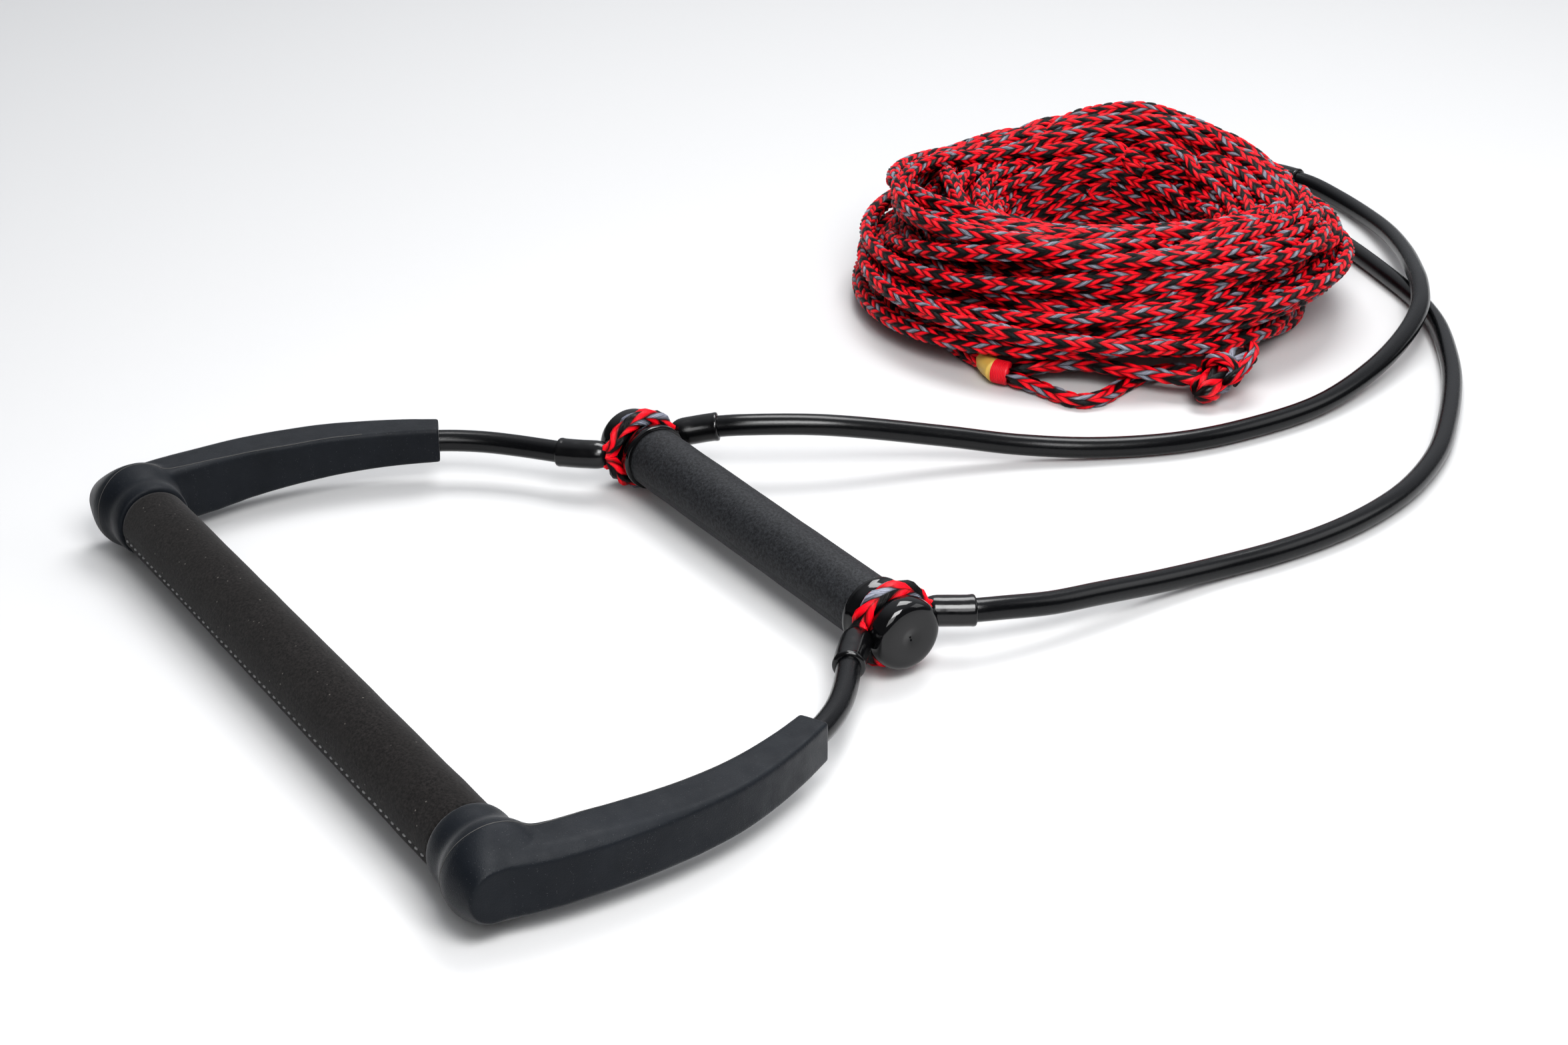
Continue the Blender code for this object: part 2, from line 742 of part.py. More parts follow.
def leg_pieces(side, hand, materials):
    """One leg: the hose over its rope, the sleeve at its eye and the sleeve at its far end."""
    line = leg_line(side)
    nose = NOSE_FROM_EYE
    far_nose = float(distances(line)[-1]) - JUNCTION_TAIL
    sleeve(hand + "_leg_end_sleeve", line, far_nose - SLEEVE_LENGTH, far_nose, materials)
    hose = stretch(line, nose + HOSE_END, far_nose - HOSE_END)
    cord_curve(hand + "_leg_hose", hose, HOSE_R, materials["vinyl"], 2)
    return sleeve(hand + "_leg_sleeve", line, nose + SLEEVE_LENGTH, nose, materials)


def coil_surface(bm):
    """The hank's outer shape: an oval ring, a little higher at the back, with rounded edges."""
    long_axis = Vector((math.cos(COIL_TURN), math.sin(COIL_TURN), 0.0))
    short_axis = Vector((-math.sin(COIL_TURN), math.cos(COIL_TURN), 0.0))
    centre = Vector(at(*COIL_CENTRE, 0.0))
    around = 32
    section = 10
    squareness = 2.0 / 2.5
    rings = []
    for i in range(around):
        angle = TAU * i / around
        cosine = math.copysign(abs(math.cos(angle)) ** squareness, math.cos(angle))
        sine = math.copysign(abs(math.sin(angle)) ** squareness, math.sin(angle))
        height = COIL_HEIGHT + COIL_RISE * (sine - 1.0)
        ring = []
        for k in range(section):
            turn = TAU * (k + 0.5) / section
            across = math.copysign(abs(math.cos(turn)) ** 0.7, math.cos(turn))
            upward = math.copysign(abs(math.sin(turn)) ** 0.7, math.sin(turn))
            inset = 0.5 * COIL_BUNDLE * (1.0 - across)
            z = 0.5 * height * (1.0 + upward)
            along = (COIL_HALF_LONG - inset) * cosine * long_axis
            beside = (COIL_HALF_SHORT - inset) * sine * short_axis
            ring.append(bm.verts.new(centre + along + beside + Vector((0.0, 0.0, z))))
        rings.append(ring)
    for i in range(around):
        join_rings(bm, rings[i], rings[(i + 1) % around])


def leg_junction(materials):
    """The knot that ties both leg ropes to the tow rope, with the ropes' ends in their sleeves."""
    bm = bmesh.new()
    bmesh.ops.create_uvsphere(bm, u_segments=14, v_segments=8, radius=JUNCTION_R)
    bmesh.ops.scale(bm, vec=(1.0, 1.1, 0.86), verts=bm.verts)
    bmesh.ops.translate(bm, vec=at(*JUNCTION), verts=bm.verts)
    knot = add_object("leg_junction_knot", bm, materials["rope"])
    for side in (-1, 1):
        line = leg_line(side)
        end = float(distances(line)[-1])
        tail = stretch(line, end - JUNCTION_TAIL - ROPE_SPLIT, end)
        boolean(knot, swept_rod("junction_tail_%d" % side, tail, ROPE_R, None, 8), 'UNION')


def tow_rope(materials):
    leg_junction(materials)
    bm = bmesh.new()
    coil_surface(bm)
    add_object("rope_coil", bm, materials["rope"])
    lead = smooth_route([at(*p) for p in LEAD_ROUTE], 0.018)
    cord_curve("tow_rope_lead", lead, TOW_ROPE_R, materials["rope"])
    loop = smooth_route([at(*p) for p in BOAT_LOOP_ROUTE], 0.007)
    cord_curve("boat_end_loop", loop, LOOP_ROPE_R, materials["rope"])
    knot = smooth_route([at(*p) for p in KNOT_ROUTE], 0.007)
    cord_curve("boat_end_knot", knot, KNOT_R, materials["rope"])
    whipping = smooth_route([at(*p) for p in WHIPPING_ROUTE], 0.003)
    swept_rod("loop_whipping", whipping, WHIPPING_R, materials["thread"], 14)
    yellow = smooth_route([at(*p) for p in LINE_SLEEVE_ROUTE], 0.005)
    swept_rod("line_sleeve", yellow, LINE_SLEEVE_R, materials["yellow"], 14)


# ---------------------------------------------------------------- build

def make_materials():
    return {
        "aluminium": make_material("aluminium", (0.78, 0.79, 0.80), 0.35, 1.0),
        "foam": make_material("eva_foam", (0.030, 0.032, 0.036), 0.85),
        "suede": make_material("suede", (0.012, 0.011, 0.011), 0.95),
        "nylon": make_material("nylon", (0.60, 0.60, 0.58), 0.45),
        "rubber": make_material("rubber", (0.026, 0.029, 0.034), 0.60),
        "vinyl": make_material("vinyl", (0.012, 0.013, 0.015), 0.25),
        "gloss": make_material("gloss_vinyl", (0.008, 0.008, 0.009), 0.10),
        "rope": make_material("braided_rope", (0.55, 0.03, 0.03), 0.70),
        "thread": make_material("whipping_thread", (0.45, 0.02, 0.02), 0.70),
        "yellow": make_material("yellow_vinyl", (0.75, 0.55, 0.12), 0.45),
    }


def main():
    clear_scene()
    materials = make_materials()
    harness_axis = joint_axis("harness_lift_axis", at(0.0, *HARNESS_HINGE))
    handle_axis = joint_axis("handle_lift_axis", at(0.0, *HANDLE_HINGE), harness_axis)
    spin_axis = joint_axis("bar_spin_axis", SECOND_AXIS, harness_axis)

    handle = main_bar(materials)
    handle.append(handle_rope(materials))
    rollers = second_bar(materials)
    harness = []
    for hand, side in (("left", -1), ("right", 1)):
        handle.append(bar_plug(side, hand + "_bar_plug", materials))
        handle.append(arm(side, hand + "_arm", materials))
        handle.append(arm_hose(side, hand + "_arm_hose", materials))
        rollers.append(end_cap(side, hand + "_end_cap", materials))
        harness.append(rope_eye(side, hand + "_rope_eye", materials))
        harness.append(arm_sleeve(side, hand + "_arm_sleeve", materials))
        harness.append(leg_pieces(side, hand, materials))
    tow_rope(materials)

    hang_from(handle_axis, handle)
    hang_from(spin_axis, rollers)
    hang_from(harness_axis, harness)


main()
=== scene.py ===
"""Looks of the tow rope handle: rubber arms, suede and foam grips, vinyl hoses and braided rope.

All lengths are in metres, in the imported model's frame, except the points of a ..._ROUTE. They are
in millimetres from the floor below the main bar's middle.
"""
import math

import bmesh
import bpy
import numpy as np
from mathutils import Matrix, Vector


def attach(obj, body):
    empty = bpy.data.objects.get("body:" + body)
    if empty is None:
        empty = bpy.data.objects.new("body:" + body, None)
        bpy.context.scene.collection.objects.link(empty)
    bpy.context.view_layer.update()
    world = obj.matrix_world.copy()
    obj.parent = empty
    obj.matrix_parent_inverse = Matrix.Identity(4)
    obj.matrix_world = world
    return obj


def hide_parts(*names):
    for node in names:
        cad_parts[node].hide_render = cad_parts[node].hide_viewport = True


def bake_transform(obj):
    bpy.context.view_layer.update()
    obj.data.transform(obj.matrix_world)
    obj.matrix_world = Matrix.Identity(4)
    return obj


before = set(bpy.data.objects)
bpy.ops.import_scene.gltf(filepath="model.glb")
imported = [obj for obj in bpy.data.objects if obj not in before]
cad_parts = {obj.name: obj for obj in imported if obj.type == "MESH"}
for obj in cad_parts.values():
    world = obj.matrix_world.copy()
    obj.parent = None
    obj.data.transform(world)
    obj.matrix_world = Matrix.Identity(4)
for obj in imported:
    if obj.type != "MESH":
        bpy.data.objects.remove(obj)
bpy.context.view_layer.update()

TAU = 2.0 * math.pi
UP = (0.0, 0.0, 1.0)
SIDES = ((-1, "left"), (1, "right"))

MAIN_BAR_Y = -0.11235  # main bar's axis
BAR_SPACING = 0.2036
BAR_Z = 0.0185  # both bars' axes above the floor
SECOND_BAR_Y = MAIN_BAR_Y + BAR_SPACING

ROPE_R = 0.0035  # rope inside hoses and arms
HOSE_R = 0.00475
SLEEVE_LENGTH = 0.020
NOSE_FROM_EYE = 0.0062  # from the eye's strand to the sleeve's nose
LEG_SLEEVE_SHIFT = 0.0042  # the leg's sleeve sits over the eye's end
HOSE_END = 0.0108  # from the sleeve's nose to the hose's end inside it
ROPE_SPLIT = 0.0070
JUNCTION_TAIL = 0.0195

TOW_ROPE_R = 0.0040
COIL_CENTRE = (-0.1646, 0.5121)
COIL_TURN = math.radians(57.0)


def at(x, y, z):
    """A place given from the floor below the main bar's middle."""
    return (x, y + MAIN_BAR_Y, z)


def placed(route, side=1):
    """A route's points in the frame, in metres, on the side that it is written for or mirrored."""
    return [at(side * x / 1000.0, y / 1000.0, z / 1000.0) for x, y, z in route]


# ---- camera, light and floor

def linked(name, data):
    """A new object in the scene."""
    obj = bpy.data.objects.new(name, data)
    bpy.context.scene.collection.objects.link(obj)
    return obj


def make_camera():
    camera = linked("camera", bpy.data.cameras.new("camera"))
    camera.location = at(0.8147, -0.3130, 0.5080)
    forward = Vector((-0.7489, 0.4864, -0.4500))
    camera.rotation_euler = forward.to_track_quat("-Z", "Y").to_euler()
    camera.data.sensor_width = 36.0
    camera.data.lens = 61.0
    camera.data.clip_start = 0.01
    camera.data.clip_end = 20.0
    bpy.context.scene.camera = camera


def area_light(name, place, target, size, energy):
    light = bpy.data.lights.new(name, "AREA")
    light.shape = "RECTANGLE"
    light.size, light.size_y = size
    light.energy = energy
    lamp = linked(name, light)
    lamp.location = place
    lamp.rotation_euler = (Vector(target) - Vector(place)).to_track_quat("-Z", "Y").to_euler()


SKY_AXIS = (-0.30, 0.40, 0.866)  # the middle of the broad overhead softbox


def make_studio():
    scene = bpy.context.scene
    scene.view_settings.view_transform = "Standard"
    scene.view_settings.look = "Medium High Contrast"
    world = bpy.data.worlds.new("studio")
    scene.world = world
    world.use_nodes = True
    nodes, links = world.node_tree.nodes, world.node_tree.links
    place = nodes.new("ShaderNodeTexCoord")
    facing = nodes.new("ShaderNodeVectorMath")
    facing.operation = "DOT_PRODUCT"
    facing.inputs[1].default_value = SKY_AXIS
    links.new(place.outputs["Generated"], facing.inputs[0])
    spread = nodes.new("ShaderNodeMapRange")
    spread.interpolation_type = "SMOOTHSTEP"
    for key, value in (("From Min", 0.30), ("From Max", 0.92), ("To Min", 0.12), ("To Max", 0.64)):
        spread.inputs[key].default_value = value
    links.new(facing.outputs["Value"], spread.inputs["Value"])
    backdrop = nodes["Background"]
    backdrop.inputs["Color"].default_value = (0.93, 0.955, 1.0, 1.0)
    links.new(spread.outputs[0], backdrop.inputs["Strength"])
    area_light("overhead", (-0.55, 0.75, 1.55), (-0.05, 0.15, 0.0), (1.0, 0.8), 19.0)
    area_light("side", (0.75, 1.30, 0.85), (0.0, 0.15, 0.0), (0.9, 0.7), 3.0)
    area_light("front", (1.25, -0.65, 0.95), (-0.05, 0.2, 0.0), (1.0, 0.7), 8.0)
    area_light("coil", (0.55, -0.05, 0.75), (-0.12, 0.42, 0.03), (0.5, 0.4), 8.0)
    bm = bmesh.new()
    bmesh.ops.create_grid(bm, x_segments=2, y_segments=2, size=6.0)
    mesh = bpy.data.meshes.new("floor")
    bm.to_mesh(mesh)
    bm.free()
    floor = linked("floor", mesh)
    floor.location.z = -0.0002
    material = bpy.data.materials.new("floor")
    material.use_nodes = True
    shader = material.node_tree.nodes["Principled BSDF"]
    shader.inputs["Base Color"].default_value = (0.60, 0.60, 0.602, 1.0)
    shader.inputs["Roughness"].default_value = 0.55
    mesh.materials.append(material)


make_camera()
make_studio()


# ---- lines

def smooth_route(points, spacing):
    """An evenly spaced smooth line through given points (centripetal Catmull-Rom)."""
    knots = np.array(points, float)
    padded = np.vstack([2 * knots[0] - knots[1], knots, 2 * knots[-1] - knots[-2]])
    dense = []
    for i in range(len(knots) - 1):
        p0, p1, p2, p3 = padded[i:i + 4]
        t1 = np.linalg.norm(p1 - p0) ** 0.5
        t2 = t1 + np.linalg.norm(p2 - p1) ** 0.5
        t3 = t2 + np.linalg.norm(p3 - p2) ** 0.5
        for t in np.linspace(t1, t2, 12, endpoint=False):
            a1 = (t1 - t) / t1 * p0 + t / t1 * p1
            a2 = (t2 - t) / (t2 - t1) * p1 + (t - t1) / (t2 - t1) * p2
            a3 = (t3 - t) / (t3 - t2) * p2 + (t - t2) / (t3 - t2) * p3
            b1 = (t2 - t) / t2 * a1 + t / t2 * a2
            b2 = (t3 - t) / (t3 - t1) * a2 + (t - t1) / (t3 - t1) * a3
            dense.append((t2 - t) / (t2 - t1) * b1 + (t - t1) / (t2 - t1) * b2)
    dense.append(knots[-1])
    dense = np.array(dense)
    return evenly(dense, 0.0, line_length(dense), spacing)


def distances(line):
    return np.concatenate([[0.0], np.cumsum(np.linalg.norm(np.diff(line, axis=0), axis=1))])


def line_length(line):
    return float(distances(line)[-1])


def places_on(line, wanted):
    along = distances(line)
    return np.stack([np.interp(wanted, along, line[:, k]) for k in range(3)], axis=1)


def evenly(line, start, end, spacing):
    count = max(3, int(round((end - start) / spacing)) + 1)
    return places_on(line, np.linspace(start, end, count))


def distance_to(line, point):
    places = evenly(line, 0.0, line_length(line), 0.0002)
    nearest = int(np.argmin(np.linalg.norm(places - np.array(point), axis=1)))
    return line_length(line) * nearest / (len(places) - 1)


def frames_along(line):
    """Unit tangents, and two unit vectors across the line that turn as little as they can."""
    steps = np.diff(line, axis=0)
    steps /= np.linalg.norm(steps, axis=1)[:, None]
    tangents = np.vstack([steps[:1], steps[:-1] + steps[1:], steps[-1:]])
    tangents /= np.linalg.norm(tangents, axis=1)[:, None]
    across = np.empty_like(tangents)
    start = np.cross(tangents[0], UP)
    across[0] = start / np.linalg.norm(start)
    for i in range(1, len(line)):
        carried = across[i - 1] - np.dot(across[i - 1], tangents[i]) * tangents[i]
        across[i] = carried / np.linalg.norm(carried)
    return tangents, across, np.cross(tangents, across)


# ---- meshes

def mesh_object(name, vertices, quads, materials, indices=None, uvs=None):
    """An object from arrays: vertices, quads, a material per quad, and UVs per vertex or per corner."""
    mesh = bpy.data.meshes.new(name)
    mesh.vertices.add(len(vertices))
    mesh.vertices.foreach_set("co", np.asarray(vertices, np.float32).ravel())
    mesh.loops.add(quads.size)
    mesh.loops.foreach_set("vertex_index", quads.astype(np.int32).ravel())
    mesh.polygons.add(len(quads))
    mesh.polygons.foreach_set("loop_start", np.arange(0, quads.size, 4, dtype=np.int32))
    for material in materials:
        mesh.materials.append(material)
    if indices is not None:
        mesh.polygons.foreach_set("material_index", np.asarray(indices, np.int32))
    mesh.polygons.foreach_set("use_smooth", np.ones(len(quads), bool))
    if uvs is not None:
        layer = mesh.uv_layers.new(name="along")
        corners = np.asarray(uvs, np.float32)
        if len(corners) != quads.size:
            corners = corners[quads.ravel()]
        layer.data.foreach_set("uv", corners.ravel())
    mesh.update(calc_edges=True)
    mesh.validate()
    return linked(name, mesh)


def bmesh_object(name, bm, material, smooth_angle=40.0):
    bmesh.ops.recalc_face_normals(bm, faces=bm.faces)
    mesh = bpy.data.meshes.new(name)
    bm.to_mesh(mesh)
    bm.free()
    mesh.materials.append(material)
    mesh.shade_smooth()
    mesh.set_sharp_from_angle(angle=math.radians(smooth_angle))
    return linked(name, mesh)


def cap_ends(mesh_obj, sides, first_centre, last_centre):
    """Close a tube's two ends, its first and last rings of vertices, with a fan to a middle point."""
    bm = bmesh.new()
    bm.from_mesh(mesh_obj.data)
    loops = list(bm.verts)[:sides], list(bm.verts)[-sides:]
    for loop, centre in zip(loops, (first_centre, last_centre)):
        middle = bm.verts.new(centre)
        for a, b in zip(loop, loop[1:] + loop[:1]):
            face = bm.faces.new((a, b, middle))
            face.smooth = True
    bmesh.ops.recalc_face_normals(bm, faces=bm.faces)
    bm.to_mesh(mesh_obj.data)
    bm.free()


def grid_quads(rows, columns):
    """Quads of a grid that closes on itself across its columns."""
    r = np.arange(rows - 1)[:, None]
    c = np.arange(columns)[None, :]
    following = (c + 1) % columns
    quads = np.stack([r * columns + c, r * columns + following,
                      (r + 1) * columns + following, (r + 1) * columns + c], axis=-1)
    return quads.reshape(-1, 4)


def tube(name, line, radii, material, sides=32):
    """A round tube with its radius given at each point. UVs: metres along, turn round."""
    _, across, up = frames_along(line)
    angles = np.linspace(0.0, TAU, sides, endpoint=False)
    radii = np.broadcast_to(np.asarray(radii, float), (len(line),))
    ring = np.cos(angles)[None, :, None] * across[:, None] + np.sin(angles)[None, :, None] * up[:, None]
    vertices = (line[:, None] + ring * radii[:, None, None]).reshape(-1, 3)
    along = np.repeat(distances(line), sides)
    around = np.tile(np.abs(np.linspace(-1.0, 1.0, sides, endpoint=False)), len(line))
    uvs = np.stack([along, around], axis=1)
    obj = mesh_object(name, vertices, grid_quads(len(line), sides), [material], uvs=uvs)
    cap_ends(obj, sides, line[0], line[-1])
    return obj


def turned_rings(bm, profile, centre_y, angles):
    """Rings of vertices: (x, radius) pairs turned about a bar's axis. Radius 0 gives a single vertex."""
    return [[bm.verts.new((x, centre_y + radius * math.cos(a), BAR_Z + radius * math.sin(a)))
             for a in (angles if radius else angles[:1])] for x, radius in profile]


def join_rings(bm, rings):
    """Faces between following rings. A ring may be a single vertex."""
    for low, high in zip(rings, rings[1:]):
        for k in range(max(len(low), len(high))):
            corners = (low[k % len(low)], low[(k + 1) % len(low)],
                       high[(k + 1) % len(high)], high[k % len(high)])
            bm.faces.new(list(dict.fromkeys(corners)))


def close_rings(bm, rings):
    """A solid through rings, with a face over the first and the last."""
    join_rings(bm, rings)
    bm.faces.new(rings[0])
    bm.faces.new(rings[-1])


TURNED_SIDES = 96
TURNED_ANGLES = [TAU * k / TURNED_SIDES for k in range(TURNED_SIDES)]


# ---- materials

class Shade:
    """A material with its Principled shader and short ways to add nodes."""

    def __init__(self, name, colour, roughness, **sockets):
        self.material = bpy.data.materials.new(name)
        self.material.use_nodes = True
        self.material.diffuse_color = (*colour, 1.0)
        self.nodes = self.material.node_tree.nodes
        self.links = self.material.node_tree.links
        self.shader = self.nodes["Principled BSDF"]
        self.shader.inputs["Base Color"].default_value = (*colour, 1.0)
        self.shader.inputs["Roughness"].default_value = roughness
        for key, value in sockets.items():
            self.shader.inputs[key.replace("_", " ")].default_value = value
        self.place = self.nodes.new("ShaderNodeTexCoord")

    def add(self, kind, inputs=None, **settings):
        node = self.nodes.new(kind)
        for key, value in settings.items():
            setattr(node, key, value)
        for key, value in (inputs or {}).items():
            self.feed(node.inputs[key], value)
        return node

    def feed(self, socket, value):
        """Link another node's output to a socket, or set the socket to a constant."""
        if isinstance(value, bpy.types.NodeSocket):
            self.links.new(value, socket)
        else:
            socket.default_value = value

    def coordinates(self, source="Object", scale=(1.0, 1.0, 1.0)):
        node = self.add("ShaderNodeMapping", {"Vector": self.place.outputs[source], "Scale": scale})
        return node.outputs[0]

    def noise(self, vector, scale, detail=2.0, roughness=0.5):
        node = self.add("ShaderNodeTexNoise", {"Vector": vector, "Scale": scale, "Detail": detail,
                                               "Roughness": roughness})
        return node.outputs["Fac"]

    def between(self, value, low, high, start=0.0, end=1.0):
        node = self.add("ShaderNodeMapRange", {"Value": value, "From Min": low, "From Max": high,
                                               "To Min": start, "To Max": end})
        return node.outputs[0]

    def mix(self, factor, first, second):
        node = self.add("ShaderNodeMix", data_type="RGBA")
        for key, value in ((0, factor), (6, first), (7, second)):
            self.feed(node.inputs[key], (*value, 1.0) if isinstance(value, tuple) else value)
        return node.outputs[2]

    def colour(self, socket):
        self.links.new(socket, self.shader.inputs["Base Color"])

    def rough(self, socket):
        self.links.new(socket, self.shader.inputs["Roughness"])

    def bump(self, height, distance, strength=1.0, before=None):
        inputs = {"Height": height, "Distance": distance, "Strength": strength}
        if before is not None:
            inputs["Normal"] = before
        node = self.add("ShaderNodeBump", inputs)
        self.links.new(node.outputs[0], self.shader.inputs["Normal"])
        return node.outputs[0]

    def specks(self, vector, scale, share):
        """1 on a small share of fine grains, 0 elsewhere."""
        cells = self.add("ShaderNodeTexVoronoi", {"Vector": vector, "Scale": scale})
        chosen = self.add("ShaderNodeSeparateColor", {"Color": cells.outputs["Color"]})
        picked = self.between(chosen.outputs[0], 1.0 - share, 1.0 - share + 0.01)
        near = self.between(cells.outputs["Distance"], 0.28, 0.12)
        return self.add("ShaderNodeMath", {0: picked, 1: near}, operation="MULTIPLY").outputs[0]


def rubber_material():
    """Matte bluish charcoal rubber with a faint mottle and fine pale dust."""
    m = Shade("arm_rubber", (0.006, 0.007, 0.009), 0.55, Specular_IOR_Level=0.22, Sheen_Weight=0.13,
              Sheen_Roughness=0.35)
    spot = m.coordinates()
    mottle = m.between(m.noise(spot, 45.0, 3.0), 0.3, 0.7)
    base = m.mix(mottle, (0.0036, 0.0052, 0.0080), (0.0066, 0.0088, 0.0125))
    m.colour(m.mix(m.specks(spot, 1700.0, 0.10), base, (0.055, 0.055, 0.060)))
    m.rough(m.between(m.noise(spot, 120.0, 3.0), 0.3, 0.7, 0.44, 0.58))
    m.bump(m.noise(spot, 2000.0, 3.0, 0.7), 0.00012)
    return m.material


def suede_material():
    """Near-black brushed suede: short nap, soft mottle and a few pale fibres."""
    m = Shade("grip_suede", (0.014, 0.012, 0.011), 0.92, Specular_IOR_Level=0.15, Sheen_Weight=0.10,
              Sheen_Roughness=0.45)
    spot = m.coordinates()
    nap = m.noise(spot, 900.0, 4.0, 0.8)
    brushed = m.between(m.noise(spot, 60.0, 3.0), 0.35, 0.65)
    grain = m.mix(m.between(nap, 0.38, 0.62), (0.0014, 0.0012, 0.0012), (0.021, 0.0185, 0.018))
    base = m.mix(m.between(brushed, 0.0, 1.0, 0.0, 0.45), grain, (0.009, 0.008, 0.0075))
    m.colour(m.mix(m.specks(spot, 700.0, 0.035), base, (0.13, 0.12, 0.11)))
    m.bump(nap, 0.00012)
    return m.material


def foam_material():
    """Dark closed-cell foam with a very fine open grain."""
    m = Shade("grip_foam", (0.010, 0.011, 0.014), 0.62, Specular_IOR_Level=0.28)
    spot = m.coordinates()
    grain = m.between(m.noise(spot, 800.0, 3.0, 0.8), 0.36, 0.64)
    base = m.mix(grain, (0.0080, 0.0084, 0.0096), (0.0310, 0.0325, 0.0360))
    m.colour(m.mix(m.specks(spot, 1100.0, 0.03), base, (0.07, 0.07, 0.08)))
    m.bump(m.noise(spot, 1500.0, 3.0, 0.7), 0.00010)
    return m.material


def dipped_material(name, roughness, blotch, dents, depth, strength):
    """Dipped glossy vinyl, very slightly uneven. Blotches and dents are noise scales."""
    low, high = roughness
    m = Shade(name, (0.003, 0.003, 0.0035), low, Specular_IOR_Level=0.5)
    spot = m.coordinates()
    m.rough(m.between(m.noise(spot, blotch, 3.0), 0.3, 0.7, low, high))
    m.bump(m.noise(spot, dents, 2.0), depth, strength)
    return m.material


def hose_material():
    """Semi-gloss hose with faint marks drawn along it."""
    m = Shade("hose_vinyl", (0.0016, 0.0018, 0.0024), 0.24, Specular_IOR_Level=0.38)
    drawn = m.coordinates("UV", (60.0, 40.0, 1.0))
    m.rough(m.between(m.noise(drawn, 4.0, 4.0), 0.3, 0.7, 0.17, 0.30))
    fine = m.coordinates("UV", (1400.0, 30.0, 1.0))
    m.bump(m.noise(fine, 1.0, 3.0), 0.00003, 0.7)
    return m.material


def fibre_material(name, dark, light, roughness=0.36):
    """One strand's yarn: fine fibres that run along the strand, from the braid's UVs. Painted shade darkens
    the yarn's colour towards black at the strand's edges and ends, in the crevices between strands.
    """
    m = Shade(name, light, roughness, Specular_IOR_Level=0.28)
    fibres = m.coordinates("UV", (1.1, 19.0, 1.0))
    strands = m.noise(fibres, 1.0, 2.0, 0.6)
    parts = m.add("ShaderNodeSeparateXYZ", {0: m.place.outputs["UV"]})
    ends, edges = (m.add("ShaderNodeMath", {0: parts.outputs[k], 1: 0.5}, operation="PINGPONG").outputs[0]
                   for k in (0, 1))
    # painted shade in the crevices: the yarn's colour is darkened towards black at each strand's edges and
    # ends
    painted_crevice_shade = m.add("ShaderNodeMath", {0: m.between(ends, 0.0, 0.12, 0.20),
                                     1: m.between(edges, 0.0, 0.32, 0.02)}, operation="MULTIPLY").outputs[0]
    yarn = m.mix(m.between(strands, 0.34, 0.64), dark, light)
    m.colour(m.mix(painted_crevice_shade, (0.0, 0.0, 0.0), yarn))
    m.bump(strands, 0.00034, 1.0, m.bump(edges, 0.0009, 0.8))
    return m.material


def plain_material(name, colour, roughness, metallic=0.0, grain=400.0):
    m = Shade(name, colour, roughness, Metallic=metallic)
    spot = m.coordinates()
    m.rough(m.between(m.noise(spot, grain, 3.0), 0.3, 0.7, roughness * 0.8, min(1.0, roughness * 1.2)))
    m.bump(m.noise(spot, grain * 3.0, 2.0), 0.00004)
    return m.material


MATERIALS = {
    "rubber": rubber_material(),
    "suede": suede_material(),
    "foam": foam_material(),
    "gloss": dipped_material("cap_gloss", (0.05, 0.13), 90.0, 110.0, 0.00010, 0.5),
    "sleeve": dipped_material("sleeve_vinyl", (0.12, 0.24), 200.0, 260.0, 0.00008, 0.6),
    "hose": hose_material(),
    "red": fibre_material("rope_red", (0.86, 0.001, 0.010), (0.97, 0.003, 0.022)),
    "black": fibre_material("rope_black", (0.0006, 0.0006, 0.0008), (0.0038, 0.0038, 0.0046)),
    "grey": fibre_material("rope_grey", (0.030, 0.032, 0.044), (0.42, 0.44, 0.53)),
    "yellow": plain_material("yellow_vinyl", (0.62, 0.42, 0.10), 0.45),
    "aluminium": plain_material("aluminium", (0.78, 0.79, 0.80), 0.32, 1.0),
    "nylon": plain_material("nylon", (0.60, 0.60, 0.58), 0.45),
    "stitch": plain_material("stitch_thread", (0.17, 0.17, 0.17), 0.7),
    "thread": plain_material("whipping_thread", (0.62, 0.008, 0.022), 0.45),
    "flash": plain_material("mould_flash", (0.06, 0.058, 0.055), 0.6),
}
YARNS = [MATERIALS["red"], MATERIALS["black"], MATERIALS["grey"]]
RED, BLACK, GREY = 0, 1, 2


# ---- braided rope

SUBROWS = 3
SUBCOLUMNS = 3
LEANING = (RED, BLACK, RED, GREY, RED, BLACK, RED)  # the colours met along one column of strands
LOOP_COLOURS = (RED, RED, BLACK, RED, GREY)
KNOT_COLOURS = (RED, GREY, RED, RED, BLACK)


